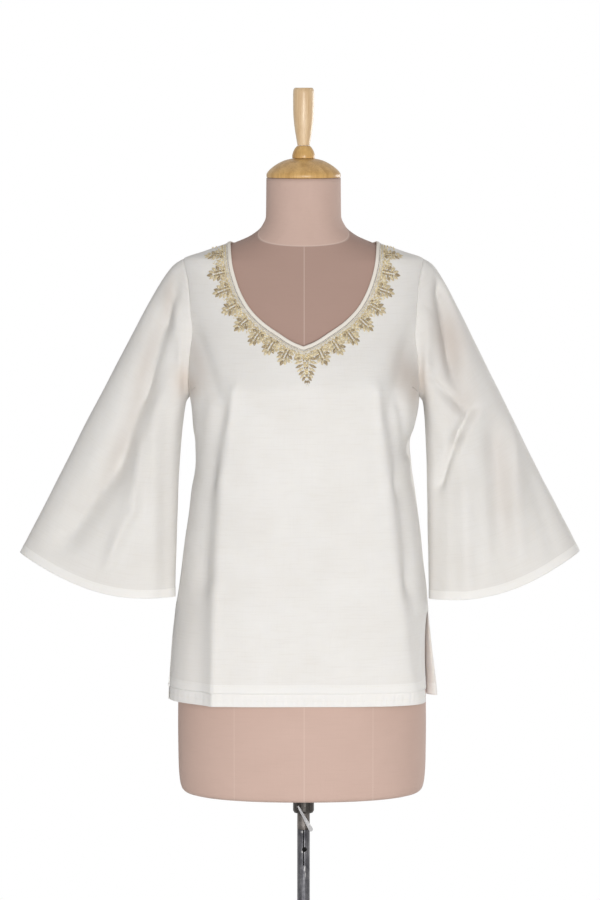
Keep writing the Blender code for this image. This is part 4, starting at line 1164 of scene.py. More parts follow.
def band_step(z, top):
    """The turned-up hem stands a third of a millimetre proud of the single cloth."""
    return BAND_STEP * (1 - ramp(z, top - 0.0008, top + 0.0008))


def panel_cloth(side, columns_half, rows_low, rows_high, bottom_z, band_top):
    cloth = Cloth()
    full = np.linspace(-1, 1, 2 * columns_half + 1)
    _, neck_z = neckline_share(side, np.zeros(1), BINDING_WIDTH + edge_gap(side))
    low_z = float(neck_z[0])
    crest = ARMPIT_Z + (low_z - ARMPIT_Z) * (1 - np.abs(full) ** 1.7) ** 1.8
    rows = []
    for share in np.linspace(0, 1, rows_low + 1):
        z = bottom_z + (crest - bottom_z) * share
        points = panel_point(side, full, z)
        if z.min() < band_top + 0.002:
            points = points + panel_normal(side, full, z) * band_step(z, band_top)[:, None]
        rows.append(cloth.row(points, full * HALF_PANEL, z))
    for lower, upper in zip(rows, rows[1:]):
        cloth.join(lower, upper, turned=side > 0)
    top = rows[-1]
    across = np.linspace(0, 1, columns_half + 1)
    for hand in (-1, 1):
        pick = slice(columns_half, None, -1) if hand < 0 else slice(columns_half, None)
        before = tuple(values[pick] for values in top)
        for even in np.linspace(0, 1, rows_high + 1)[1:]:
            share = 1 - (1 - even) ** 1.5
            neck_s, neck_z = neckline_share(side, np.array([share]), BINDING_WIDTH + edge_gap(side))
            arm_s, arm_z = armhole_share(side, np.array([share]))
            s = neck_s[0] + (arm_s[0] - neck_s[0]) * across
            z = neck_z[0] + (arm_z[0] - neck_z[0]) * across
            first = crest[columns_half:]
            sag = first - (crest[columns_half] + (crest[-1] - crest[columns_half]) * across)
            z = z + sag * (1 - share) ** 2
            row = cloth.row(panel_point(side, hand * s, z), hand * s * HALF_PANEL, z)
            cloth.join(before, row, turned=(hand < 0) != (side > 0))
            before = row
    return cloth


# %% Front panel and back panel
front_cloth = panel_cloth(-1, 64, 150, 64, STRIP_TOP_Z, FRONT_BAND_TOP_Z)
front = front_cloth.make("tunic_front", IVORY_FRONT)
back_cloth = panel_cloth(1, 72, 150, 56, HEM_Z - BACK_HEM_DROP, BACK_BAND_TOP_Z)
back = back_cloth.make("tunic_back", IVORY_BACK)
for item, cloth in ((front, front_cloth), (back, back_cloth)):
    give_wall(item, SHELL)
    print(item.name, "one layer", round(cloth.area(), 4), "m2,", len(item.data.polygons), "faces")

# %% [markdown]
# Under the front hem a narrow strip of a second layer shows, set back behind the hem's edge and
# slightly puckered by its line of stitches.


# %% Hem strip
NEAR_EDGE = 0.985
STRIP_SHELL = 0.0008


def strip_cloth(columns, rows):
    cloth = Cloth()
    s = np.linspace(-NEAR_EDGE, NEAR_EDGE, columns)
    made = []
    for z0 in np.linspace(HEM_Z, STRIP_TOP_Z + 0.0030, rows):
        z = np.full(columns, z0)
        back_off = 0.0001 + 0.0014 * ramp(s, -0.45, 0.1)
        back_off = np.maximum(back_off, 0.0013 * ramp(z, STRIP_TOP_Z - 0.0012, STRIP_TOP_Z))
        pucker = np.sin(s * 150 + 0.8 * np.sin(s * 37))
        pucker = pucker + 0.6 * np.sin(s * 260 + 1.0 + 40 * (z0 - HEM_Z))
        pucker = pucker * (0.00018 + 0.00022 * np.exp(-((s - 0.62) / 0.12) ** 2))
        pucker = pucker * max(math.sin(math.pi * (z0 - HEM_Z) / (STRIP_TOP_Z - HEM_Z)), 0)
        moved = panel_point(-1, s, z) - panel_normal(-1, s, z) * (back_off - pucker)[:, None]
        made.append(cloth.row(moved, s * HALF_PANEL, z))
    for lower, upper in zip(made, made[1:]):
        cloth.join(lower, upper)
    return cloth


strip_made = strip_cloth(420, 16)
hem_strip = give_wall(strip_made.make("tunic_front_hem_strip", IVORY_STRIP), STRIP_SHELL)
print("hem strip one layer", round(strip_made.area(), 4), "m2")

# %% [markdown]
# ## Sleeves
# Every line down a sleeve is one smooth curve: it leaves the armhole in the direction that the
# shoulder points, and reaches the cuff in the direction that the cloth hangs. Rows are spaced by
# length along these lines. The folds push front and back out and in, as seen from the front.


# %% Sleeve builder
def armhole_loop(hand, turns):
    """Points of the armhole round its loop: turn 0 at the underarm, 0.5 at the tip, 1 back again."""
    points = []
    for turn in turns:
        side = -1 if turn <= 0.5 else 1
        t = turn * 2 if turn <= 0.5 else (1 - turn) * 2
        s, z = armhole_share(side, np.array([t]))
        points.append(panel_point(side, hand * s, z)[0])
    return np.array(points)


def sleeve_normals(grid, hand):
    """Outward normals of a sleeve's grid of points."""
    around = np.roll(grid, -1, axis=1) - np.roll(grid, 1, axis=1)
    down = np.gradient(grid, axis=0)
    return unit(np.cross(around, down)) * -hand


def sleeve_grid(hand, cuff_row, folds, turns, shares):
    """Rows of a sleeve's middle surface, from the armhole to the cuff."""
    cuff = dict(zip(CUFF, cuff_row))
    start = armhole_loop(hand, turns)
    way = {name: column(SLEEVE_DIRECTIONS, SLEEVE_DIRECTION, name, turns)
           for name in SLEEVE_DIRECTION}
    out = unit(np.stack([hand * way["out"], -way["forward"], -way["down"]], axis=1))
    low = np.cos(math.pi * turns) ** 2
    behind = np.where(turns > 0.5, np.sin(math.pi * turns) ** 2, 0.0)
    outset = hand * (0.0004 + 0.0024 * low ** 2 + 0.0003 * behind)
    start = start + np.stack([outset, 0 * low, 0 * low], axis=1)
    start = start + out * 0.0009
    angle = 2 * math.pi * turns
    outward = (1 - np.cos(angle)) / 2
    end = np.stack(
        [
            hand * (cuff["inner_x"] + (cuff["outer_x"] - cuff["inner_x"]) * outward),
            -0.006 - cuff["deep"] * np.sin(angle),
            cuff["inner_z"] + (cuff["outer_z"] - cuff["inner_z"]) * outward
            - cuff["droop"] * np.sin(math.pi * outward),
        ],
        axis=1,
    )
    slant = 0.02 + 0.50 * outward
    arrive = unit(np.stack([hand * slant, 0 * slant, -np.ones(len(turns))], axis=1))
    first = start + out * way["start"][:, None]
    second = end - arrive * way["end"][:, None]
    t = np.linspace(0, 1, 81)[:, None, None]
    dense = (start * (1 - t) ** 3 + 3 * first * t * (1 - t) ** 2
             + 3 * second * t * t * (1 - t) + end * t ** 3)
    grid = np.zeros((len(shares), len(turns), 3))
    for j in range(len(turns)):
        steps = np.linalg.norm(np.diff(dense[:, j], axis=0), axis=1)
        along = np.concatenate([[0], np.cumsum(steps)])
        for k in range(3):
            grid[:, j, k] = np.interp(np.array(shares) * along[-1], along, dense[:, j, k])
    normals = sleeve_normals(grid, hand)
    backward = normals.reshape(-1, 3)[:, 1]
    facing = ramp(-backward, 0.15, 0.75) + 0.7 * ramp(backward, 0.15, 0.75)
    fade_in = np.repeat(ramp(np.array(shares), 0.0, 0.09), len(turns))
    height = fold_height(folds, grid.reshape(-1, 3)) * facing * fade_in
    return grid + normals * height.reshape(len(shares), len(turns))[:, :, None]


def sleeve_cloth(hand, cuff_row, folds, columns, rows):
    cloth = Cloth()
    turns = np.arange(columns) / columns
    shares = 1 - (1 - np.linspace(0, 1, rows)) ** 1.15
    grid = sleeve_grid(hand, cuff_row, folds, turns, shares)
    joined = armhole_loop(hand, turns) - grid[0]
    joined[:, 0] -= hand * 0.0006
    grid = grid + joined[None, :, :] * (1 - ramp(shares, 0.0, 0.035))[:, None, None]
    normals = sleeve_normals(grid, hand)
    waves = slow_waves(grid.reshape(-1, 3), 0.0003) * np.repeat(ramp(shares, 0.03, 0.12), columns)
    lengths = np.linalg.norm(np.diff(grid, axis=0), axis=2).cumsum(axis=0)
    left = np.vstack([lengths[-1], lengths[-1] - lengths])
    hem = 0.0003 * (1 - ramp(left, 0.0120, 0.0132))
    grid = grid + normals * (waves.reshape(left.shape) + hem)[:, :, None]
    made = []
    for i, row in enumerate(grid):
        across = np.linspace(0, 0.46, columns + 1)
        along = np.append(left[i], left[i][0])
        made.append(cloth.row(row, across, along))
    for upper, lower in zip(made, made[1:]):
        cloth.join(lower, upper, around=True, turned=hand < 0)
    return cloth, grid, left


# %% Sleeves
sleeves = {}
for name, hand, cuff_row, folds in (
    ("tunic_sleeve_right", -1, CUFF_RIGHT, deeper(SLEEVE_RIGHT_FOLDS, 1.25) + SLEEVE_RIGHT_CREASES),
    ("tunic_sleeve_left", 1, CUFF_LEFT, deeper(SLEEVE_LEFT_FOLDS, 1.6) + SLEEVE_LEFT_CREASES),
):
    cloth, grid, left = sleeve_cloth(hand, cuff_row, folds, 216, 124)
    item = cloth.make(name, IVORY_SLEEVE)
    give_wall(item, SHELL)
    sleeves[name] = (item, grid, left)
    print(name, "one layer", round(cloth.area(), 4), "m2")

# %% [markdown]
# ## Neck binding
# A bias strip is folded over the raw edge and stitched, which gives a smooth rounded lip. It is a
# small rounded section swept round the whole neck opening, front and back.


# %% Binding
def neck_loop(count_front, count_back, out):
    """The whole neck opening as a closed loop, with the surface's normal at each point."""
    points = []
    normals = []
    even = np.linspace(-1, 1, 2 * count_front + 1)
    front_row = np.sign(even) * (1 - (1 - np.abs(even)) ** 1.35)
    back_row = np.linspace(1, -1, 2 * count_back + 1)[1:-1]
    for side, row in ((-1, front_row), (1, back_row)):
        for t in row:
            s, z = neckline_share(side, np.array([abs(t)]), out)
            s = s * (-1 if t < 0 else 1)
            points.append(panel_point(side, s, z)[0])
            normals.append(panel_normal(side, np.clip(s, -0.98, 0.98), z)[0])
    return np.array(points), unit(np.array(normals))


def smoothed(values, passes):
    for _ in range(passes):
        values = (np.roll(values, 1, axis=0) + 2 * values + np.roll(values, -1, axis=0)) / 4
    return values


BINDING_SIDES = 14


def rounded(value):
    """Half a unit at most, with its swing blunted so that the section is fuller than an ellipse."""
    return math.copysign(abs(value) ** 0.8, value) * 0.5


def binding_cloth():
    points, normals = neck_loop(90, 50, BINDING_WIDTH / 2)
    normals = unit(smoothed(normals, 14))
    run = unit(np.roll(points, -1, axis=0) - np.roll(points, 1, axis=0))
    across = unit(np.cross(normals, run))
    lift = np.cross(run, across)
    middle = points + normals * (BINDING_THICK - CLOTH) / 2
    cloth = Cloth()
    made = []
    count = len(points)
    around = np.arange(count + 1) * 0.0055
    for k in range(BINDING_SIDES):
        angle = 2 * math.pi * k / BINDING_SIDES
        wide = rounded(math.cos(angle))
        high = rounded(math.sin(angle))
        ring = middle + across * wide * (BINDING_WIDTH - 0.0003) + lift * high * BINDING_THICK * 0.92
        made.append(cloth.row(ring, around, np.full(count + 1, k * 0.0008)))
    for lower, upper in zip(made, made[1:] + made[:1]):
        cloth.join(lower, upper, around=True)
    return cloth


binding = binding_cloth().make("tunic_neck_binding", CREAM)
print("binding faces", len(binding.data.polygons))

# %% [markdown]
# ## Gold leaf border
# The embroidery is worked in gold thread: rows of tiny silver and gold beads with slanting
# stitches between them, then pointed leaf tufts that stand out from the neck, with sequins
# scattered among their roots, and one long tuft at the V. Every leaf is a padded satin stitch.
# One small leaf is made in Geometry Nodes and set on points that carry their own turn and size,
# so the whole border is one tree.


# %% Places on the front beside the neck
def border_place(t, out, lift):
    """Point beside the neckline at signed share t, with its three directions: along, away and up."""
    t = np.asarray(t, float)
    out = np.asarray(out, float)

    def at(t_now, out_now):
        s, z = neckline_share(-1, np.clip(np.abs(t_now), 0, 0.9995), out_now)
        return np.clip(s, 0, 0.995) * np.where(t_now < 0, -1.0, 1.0), z

    s, z = at(t, out)
    points = panel_point(-1, s, z)
    up = panel_normal(-1, np.clip(s, -0.98, 0.98), z)
    s2, z2 = at(t, out + 0.002)
    away = panel_point(-1, s2, z2) - points
    away = unit(away - up * (away * up).sum(axis=1)[:, None])
    along = np.cross(away, up)
    return points + up * (SHELL / 2 + lift)[:, None], along, away, up


# %% Leaf tree
def new_tree(name, inputs):
    """A geometry tree with the named numbers as its inputs, and its first and last node."""
    tree = bpy.data.node_groups.new(name, "GeometryNodeTree")
    tree.interface.new_socket(name="Geometry", in_out="INPUT", socket_type="NodeSocketGeometry")
    for title, value in inputs:
        made = tree.interface.new_socket(name=title, in_out="INPUT", socket_type="NodeSocketFloat")
        made.default_value = value
    tree.interface.new_socket(name="Geometry", in_out="OUTPUT", socket_type="NodeSocketGeometry")
    return tree, tree.nodes.new("NodeGroupInput"), tree.nodes.new("NodeGroupOutput")


def small_ball(tree, segments, rings):
    ball = tree.nodes.new("GeometryNodeMeshUVSphere")
    ball.inputs["Segments"].default_value = segments
    ball.inputs["Rings"].default_value = rings
    ball.inputs["Radius"].default_value = 0.5
    return ball.outputs["Mesh"]


def stored(tree, title):
    """A vector that each point keeps under this title."""
    node = tree.nodes.new("GeometryNodeInputNamedAttribute")
    node.data_type = "FLOAT_VECTOR"
    node.inputs["Name"].default_value = title
    return node.outputs["Attribute"]


def set_items(tree, points, item, turn, scale, material, end):
    """Sets the item on every point, makes the copies real and smooth, and gives them their material."""
    put = tree.nodes.new("GeometryNodeInstanceOnPoints")
    for title, source in (("Points", points), ("Instance", item), ("Rotation", turn), ("Scale", scale)):
        tree.links.new(source, put.inputs[title])
    real = tree.nodes.new("GeometryNodeRealizeInstances")
    tree.links.new(put.outputs[0], real.inputs[0])
    smooth = tree.nodes.new("GeometryNodeSetShadeSmooth")
    tree.links.new(real.outputs[0], smooth.inputs[0])
    paint = tree.nodes.new("GeometryNodeSetMaterial")
    paint.inputs["Material"].default_value = material
    tree.links.new(smooth.outputs[0], paint.inputs[0])
    tree.links.new(paint.outputs[0], end.inputs[0])


def leaf_tree(material):
    """A ball drawn out to a point at both ends, set on points that keep their turn and size."""
    tree, start, end = new_tree("leaf_stitches", (("Point sharpness", 0.62),))
    nodes = tree.nodes
    links = tree.links
    ball = small_ball(tree, 8, 6)
    place = nodes.new("GeometryNodeInputPosition")
    split = nodes.new("ShaderNodeSeparateXYZ")
    links.new(place.outputs[0], split.inputs[0])
    from_middle = math_node(tree, "ABSOLUTE", split.outputs["Z"])
    cut = multiply(tree, from_middle, start.outputs["Point sharpness"])
    keep = math_node(tree, "MULTIPLY_ADD", cut, -1.6, 1.0)
    join = nodes.new("ShaderNodeCombineXYZ")
    for axis in ("X", "Y"):
        links.new(multiply(tree, split.outputs[axis], keep), join.inputs[axis])
    links.new(split.outputs["Z"], join.inputs["Z"])
    shape = nodes.new("GeometryNodeSetPosition")
    links.new(ball, shape.inputs["Geometry"])
    links.new(join.outputs[0], shape.inputs["Position"])
    points = nodes.new("GeometryNodeMeshToPoints")
    links.new(start.outputs["Geometry"], points.inputs["Mesh"])
    set_items(tree, points.outputs[0], shape.outputs[0], stored(tree, "turn"), stored(tree, "grow"),
              material, end)
    return tree


def set_on_points(name, rows, tree):
    """rows: (place, x direction, y direction, z direction, size along x, y, z)."""
    mesh = bpy.data.meshes.new(name)
    mesh.from_pydata([tuple(row[0]) for row in rows], [], [])
    turn = mesh.attributes.new("turn", "FLOAT_VECTOR", "POINT")
    grow = mesh.attributes.new("grow", "FLOAT_VECTOR", "POINT")
    for i, (_, x, y, z, sizes) in enumerate(rows):
        basis = Matrix((x, y, z)).transposed()
        turn.data[i].vector = basis.to_euler()
        grow.data[i].vector = sizes
    item = in_scene(name, mesh)
    step = item.modifiers.new("repeat", "NODES")
    step.node_group = tree
    return settle(item)


# %% [markdown]
# Gold thread is thin metal wound round a core, so it glints in points and not as a mirror does.
# Fine noise mixes a light and a dark tone: the thread's uneven colour, with its light speckles as
# painted glints. Finer noise roughens the surface. One function gives the golds, the silver beads
# and the ivory thread.

# %% Gold threads
def thread_finish(name, light, dark, metallic, roughness):
    made = bpy.data.materials.new(name)
    made.use_nodes = True
    tree = made.node_tree
    shader = tree.nodes["Principled BSDF"]
    where = tree.nodes.new("ShaderNodeTexCoord")
    # The light speckles are painted glints; the spread between the two tones is the thread's uneven
    # colour.
    tone_and_glints = noise_node(tree, where.outputs["Object"], 420.0, 2.0, 0.6)
    colour = mixed(tree, ranged(tree, tone_and_glints, 0.35, 0.65), dark, light)
    tree.links.new(colour, shader.inputs["Base Color"])
    strands = grained(tree, where.outputs["Object"], (1800.0, 1800.0, 1800.0), 1.0, 0.5)
    relief = tree.nodes.new("ShaderNodeBump")
    relief.inputs["Strength"].default_value = 0.5
    relief.inputs["Distance"].default_value = 0.0003
    tree.links.new(strands, relief.inputs["Height"])
    tree.links.new(relief.outputs["Normal"], shader.inputs["Normal"])
    shader.inputs["Metallic"].default_value = metallic
    shader.inputs["Roughness"].default_value = roughness
    return made


GOLD_COLOUR = (0.52, 0.42, 0.26, 1)
GOLD = thread_finish("gold_thread", (0.80, 0.70, 0.48, 1), GOLD_COLOUR, 0.12, 0.5)
DARK_GOLD = thread_finish("dark_gold_thread", GOLD_COLOUR, (0.29, 0.22, 0.13, 1), 0.20, 0.5)
PALE_GOLD = thread_finish("pale_gold_sequin", (0.97, 0.87, 0.60, 1), (0.62, 0.49, 0.26, 1), 0.30, 0.30)
SILVER = thread_finish("silver_bead", (0.90, 0.87, 0.81, 1), (0.66, 0.61, 0.53, 1), 0.25, 0.3)
IVORY_THREAD = thread_finish("ivory_thread", (0.90, 0.88, 0.82, 1), (0.78, 0.75, 0.68, 1), 0.0, 0.6)
print("thread materials:", [m.name for m in (GOLD, DARK_GOLD, PALE_GOLD, SILVER, IVORY_THREAD)])

# %% [markdown]
# A tuft is a short table: each row is one leaf, with its root beside the tuft's line, its lean,
# its length and its width. The eight tufts on each side share it; the long one at the V repeats
# pairs of leaves down a stem.

# %% Leaf tables
TUFT = ("side", "root", "lean", "length", "width")
TUFT_LEAVES = (
    (0.0000, 0.0284, 0.0, 0.0092, 0.0050),
    (0.0018, 0.0266, 28.0, 0.0088, 0.0050),
    (0.0032, 0.0230, 48.0, 0.0092, 0.0052),
    (0.0036, 0.0190, 62.0, 0.0090, 0.0052),
    (0.0032, 0.0150, 76.0, 0.0082, 0.0048),
    (0.0024, 0.0120, 92.0, 0.0068, 0.0044),
)
LONG_TUFT = (
    (0.0044, 0.0118, 88.0, 0.0104, 0.0048),
    (0.0044, 0.0158, 80.0, 0.0122, 0.0046),
    (0.0043, 0.0200, 71.0, 0.0124, 0.0045),
    (0.0040, 0.0244, 63.0, 0.0120, 0.0044),
    (0.0036, 0.0288, 56.0, 0.0112, 0.0043),
    (0.0031, 0.0330, 50.0, 0.0102, 0.0042),
    (0.0026, 0.0370, 43.0, 0.0092, 0.0040),
    (0.0020, 0.0408, 34.0, 0.0082, 0.0038),
)
LONG_TUFT_ASIDE = (0.0026, 0.060)
BORDER_LEAVES = 8
BORDER_START = 0.034
BORDER_END = 0.978
TUFT_ROOT = 0.0118
LEAF_HIGH = 0.0018
BETWEEN_TUFTS = (
    (0.0, 0.0146), (0.0026, 0.0134), (-0.0026, 0.0134), (0.0017, 0.0170),
    (-0.0017, 0.0170), (0.0, TUFT_ROOT), (0.0036, 0.0158), (-0.0036, 0.0158),
)
SCATTERED = 560
SLANT_STEP = 0.0030
SLANTING_ROWS = (
    (0.0090, 40.0, 0.0040, 0.0018),
    (0.0124, -40.0, 0.0036, 0.0018),
    (0.0148, 40.0, 0.0042, 0.0024),
)


def leaf_rows(table):
    """table: share along the neck, side step, root, lean, length, width, hand, thickness."""
    columns = (np.array(values, float) for values in zip(*table))
    t, side, root, lean, length, width, hand, high = columns
    base, along, away, up = border_place(t, root, np.full(len(t), 0.0004))
    angle = np.radians(lean)
    way = away * np.cos(angle)[:, None] + along * (np.sin(angle) * hand)[:, None]
    aside = np.cross(way, up)
    centre = base + along * (side * hand)[:, None] + way * (length / 2)[:, None]
    shift = LONG_TUFT_ASIDE[0] + LONG_TUFT_ASIDE[1] * (root - TUFT_ROOT)
    centre[:, 0] += np.where(t == 0, shift, 0.0)
    sizes = np.stack([width, high, length], axis=1)
    return list(zip(centre, map(tuple, aside), map(tuple, -up), map(tuple, way), map(tuple, sizes)))


def tuft_leaf(t, tuft, root, hand, high):
    return (t, tuft["side"], root, tuft["lean"], tuft["length"], tuft["width"], hand, high)


def disc(t, side, root, size, high):
    """A sequin or a bead: it has no lean and is as wide as it is long."""
    return (t, side, root, 0.0, size, size, 1, high)


def neck_metres(t):
    return abs(t) * float(np.hypot(*np.diff(np.array(NECKLINE), axis=0).T).sum())


# %% Rows of the eight tufts on each side
leaf_table = []
dark_table = []
sequin_table = []
tuft_step = (BORDER_END - BORDER_START) / BORDER_LEAVES
for hand_side in (-1, 1):
    for k in range(BORDER_LEAVES):
        t = hand_side * (BORDER_START + (k + 0.5) * tuft_step)
        for n, row in enumerate(TUFT_LEAVES):
            tuft = dict(zip(TUFT, row))
            for hand in ((1,) if tuft["lean"] == 0 else (-1, 1)):
                table = dark_table if (n + k) % 3 == 0 else leaf_table
                root = tuft["root"] * (1 + 0.09 * max(abs(t) - 0.4, 0) / 0.6)
                table.append(tuft_leaf(t, tuft, root, hand, LEAF_HIGH))
        for n in range(6):
            for hand in (-1, 1):
                root = TUFT_ROOT + 0.0026 * n
                dark_table.append((t, 0.0014, root, 25.0, 0.0044, 0.0030, hand, 0.0016))
            if n % 2:
                side = 0.0005 * (-1) ** (n // 2)
                sequin_table.append(disc(t, side, 0.0122 + 0.0028 * n, 0.0017, 0.0020))
        middle = hand_side * (BORDER_START + k * tuft_step)
        for side, root in BETWEEN_TUFTS:
            sequin_table.append(disc(middle, side, root, 0.0023, 0.0015))
        for side in (-0.0024, 0.0, 0.0024):
            root = 0.0186 - abs(side)
            leaf_table.append((middle, side, root, side * 9000.0, 0.0058, 0.0040, 1, 0.0014))
print("rows of the side tufts:", len(leaf_table), len(dark_table), len(sequin_table))

# %% Rows of the long tuft, scattered sequins and slanting stitches
for n, row in enumerate(LONG_TUFT):
    tuft = dict(zip(TUFT, row))
    for hand in (-1, 1):
        table = dark_table if n % 2 else leaf_table
        table.append(tuft_leaf(0.0, tuft, tuft["root"], hand, 0.0020))
for side in (-0.0018, 0.0, 0.0018):
    dark_table.append((0.0, side, 0.0456, side * 9000.0, 0.0054, 0.0028, 1, LEAF_HIGH))
for n in range(13):
    half = 0.0038 * (1 - n / 15.0)
    for side in (-half, half * 0.3 * (-1) ** n, half):
        table = dark_table if n % 4 == 3 else sequin_table
        size = 0.0030 if table is sequin_table else 0.0022
        table.append(disc(0.0, side, TUFT_ROOT + 0.0024 * n - abs(side) * 0.3, size, 0.0036))
for k in range(SCATTERED):
    t = (k + 0.5) / (SCATTERED / 2) - 1
    if 0.03 < abs(t) < BORDER_END:
        root = 0.0096 + 0.0160 * (0.5 + 0.5 * math.sin(12.9 * k + 1.7 * math.sin(3.1 * k)))
        sequin_table.append(disc(t, 0.0, root, 0.0017, 0.0030))
count = int(neck_metres(1.0) * BORDER_END / SLANT_STEP)
for hand_side in (-1, 1):
    for k in range(count):
        t = hand_side * (k + 0.5) / count * BORDER_END
        for root, lean, length, width in SLANTING_ROWS:
            leaf_table.append((t, 0.0, root, lean if k % 2 else -lean, length, width, 1, 0.0010))
border = set_on_points("tunic_gold_leaves", leaf_rows(leaf_table), leaf_tree(GOLD))
dark_leaves = set_on_points("tunic_dark_gold_leaves", leaf_rows(dark_table), leaf_tree(DARK_GOLD))
print("leaves", len(leaf_table) + len(dark_table), "faces", len(border.data.polygons))

# %% [markdown]
# The leaf tree sets the sequins too, from rows that are as wide as they are long. Beads and
# stitches lie along lines, so a second tree walks along a path at an even spacing and lays one
# bead or stitch at each step, turned along the line. Seams, hems and cuffs get theirs from it.


# %% Path tree
def path_tree(material, name):
    tree, start, end = new_tree(
        name, (("Spacing", 0.0022), ("Length", 0.0015), ("Width", 0.0015), ("Jitter", 0.1)))
    nodes = tree.nodes
    links = tree.links
    line = nodes.new("GeometryNodeMeshToCurve")
    links.new(start.outputs["Geometry"], line.inputs[0])
    walk = nodes.new("GeometryNodeCurveToPoints")
    walk.mode = "LENGTH"
    links.new(line.outputs[0], walk.inputs["Curve"])
    links.new(start.outputs["Spacing"], walk.inputs["Length"])
    ball = small_ball(tree, 6, 4)
    sizes = nodes.new("ShaderNodeCombineXYZ")
    for axis, title in (("X", "Width"), ("Y", "Width"), ("Z", "Length")):
        links.new(start.outputs[title], sizes.inputs[axis])
    chance = nodes.new("FunctionNodeRandomValue")
    chance.data_type = "FLOAT"
    float_inputs = [s for s in chance.inputs if s.type == "VALUE"]
    float_inputs[0].default_value = -1.0
    float_inputs[1].default_value = 1.0
    [s for s in chance.inputs if s.name == "Seed"][0].default_value = 7
    drawn = [s for s in chance.outputs if s.type == "VALUE"][0]
    uneven = math_node(tree, "MULTIPLY_ADD", drawn, start.outputs["Jitter"], 1.0)
    scale = nodes.new("ShaderNodeVectorMath")
    scale.operation = "SCALE"
    links.new(sizes.outputs[0], scale.inputs[0])
    links.new(uneven, scale.inputs["Scale"])
    set_items(tree, walk.outputs["Points"], ball, walk.outputs["Rotation"], scale.outputs[0],
              material, end)
    return tree


def set_input(step, tree, title, value):
    found = [item.identifier for item in tree.interface.items_tree
             if item.name == title and item.in_out == "INPUT"]
    step[found[0]] = value


def along_paths(name, paths, tree, spacing, length, width, jitter=0.1):
    points = []
    edges = []
    for path_points in paths:
        first = len(points)
        points.extend(tuple(map(float, p)) for p in path_points)
        edges.extend((i, i + 1) for i in range(first, len(points) - 1))
    mesh = bpy.data.meshes.new(name)
    mesh.from_pydata(points, edges, [])
    item = in_scene(name, mesh)
    step = item.modifiers.new("repeat", "NODES")
    step.node_group = tree
    for title, value in (("Spacing", spacing), ("Length", length), ("Width", width), ("Jitter", jitter)):
        set_input(step, tree, title, value)
    return settle(item)


# %% Sequins and beads
sequin_tree = leaf_tree(PALE_GOLD)
sequin_tree.name = "sequin_discs"
border_sequins = set_on_points("tunic_gold_sequins", leaf_rows(sequin_table), sequin_tree)


def neck_line(out, lift):
    t = np.concatenate([np.linspace(-BORDER_END, 0, 120), np.linspace(0, BORDER_END, 120)[1:]])
    points, _, _, _ = border_place(t, np.full(len(t), out), np.full(len(t), lift))
    return points


SILVER_TREE = path_tree(SILVER, "silver_beads")
GOLD_BEAD_TREE = path_tree(PALE_GOLD, "gold_beads")
STITCH_TREE = path_tree(IVORY_THREAD, "running_stitches")
SILVER_ROWS = ((0.0061, 0.0007), (0.0100, 0.0006))
GOLD_ROWS = ((0.0080, 0.0006), (0.0122, 0.0006))
silver_beads = along_paths("tunic_silver_beads", [neck_line(out, lift) for out, lift in SILVER_ROWS],
                           SILVER_TREE, 0.0021, 0.0018, 0.0016)
gold_beads = along_paths("tunic_gold_beads", [neck_line(out, lift) for out, lift in GOLD_ROWS],
                         GOLD_BEAD_TREE, 0.0022, 0.0018, 0.0015)
PEARL_SIZE = 0.0030
tip = border_place(np.array([0.0, 0.0]), np.array([0.0528, 0.0532]), np.array([0.0012, 0.0012]))[0]
tip[:, 0] += 0.0048
pearl = along_paths("tunic_tip_pearl", [tip], path_tree(IVORY_THREAD, "tip_pearl"),
                    0.01, PEARL_SIZE, PEARL_SIZE, 0.0)
print("silver", len(silver_beads.data.polygons), "gold", len(gold_beads.data.polygons))

# %% [markdown]
# ## Stitches
# A running stitch shows as short threads lying on the cloth. They follow the turned hems, the
# cuffs, the slit edges and the outer edge of the binding.


# %% Stitch paths
STITCH_SAMPLES = 260
HEM_STITCH = 0.0022
CUFF_STITCH = 0.0105


def panel_line(side, s, z, lift=0.0):
    s = np.asarray(s, float)
    z = np.asarray(z, float)
    rise = SHELL / 2 + BAND_STEP + lift
    return panel_point(side, s, z) + panel_normal(side, s, z) * rise


across = np.linspace(-NEAR_EDGE, NEAR_EDGE, STITCH_SAMPLES)
paths = []
for side, band_top in ((-1, FRONT_BAND_TOP_Z), (1, BACK_BAND_TOP_Z)):
    paths.append(panel_line(side, across, np.full(STITCH_SAMPLES, band_top - HEM_STITCH)))
for side in (-1, 1):
    for hand in (-1, 1):
        z = np.linspace(0.7330 if side < 0 else 0.7120, 0.842, 60)
        paths.append(panel_line(side, np.full(60, hand * 0.968), z, -0.0003))
for name, (_, grid, left) in sleeves.items():
    normals = sleeve_normals(grid, -1 if "right" in name else 1)
    ring = []
    for j in range(grid.shape[1]):
        i = int(np.argmin(np.abs(left[:, j] - CUFF_STITCH)))
        ring.append(grid[i, j] + normals[i, j] * (SHELL / 2 + 0.0001))
    ring.append(ring[0])
    paths.append(np.array(ring))
stitches = along_paths("tunic_stitches", paths, STITCH_TREE, 0.0034, 0.0024, 0.0005, 0.12)

# %% Stitches of the strip and of the binding
strip_s = np.linspace(-0.98, 0.98, STITCH_SAMPLES)
strip_z = np.full(STITCH_SAMPLES, HEM_Z + 0.0085)
strip_off = 0.0002 + 0.0013 * ramp(strip_s, -0.6, 0.1)
strip_back = panel_normal(-1, strip_s, strip_z) * (strip_off - 0.0007)[:, None]
strip_path = panel_point(-1, strip_s, strip_z) - strip_back
strip_stitches = along_paths("tunic_strip_stitches", [strip_path], STITCH_TREE,
                             0.0030, 0.0022, 0.0006, 0.15)
neck_stitches = along_paths("tunic_neck_stitches", [neck_line(0.0050, 0.0014)], STITCH_TREE,
                            0.0026, 0.0018, 0.0004, 0.1)
print("stitch faces", len(stitches.data.polygons) + len(strip_stitches.data.polygons))

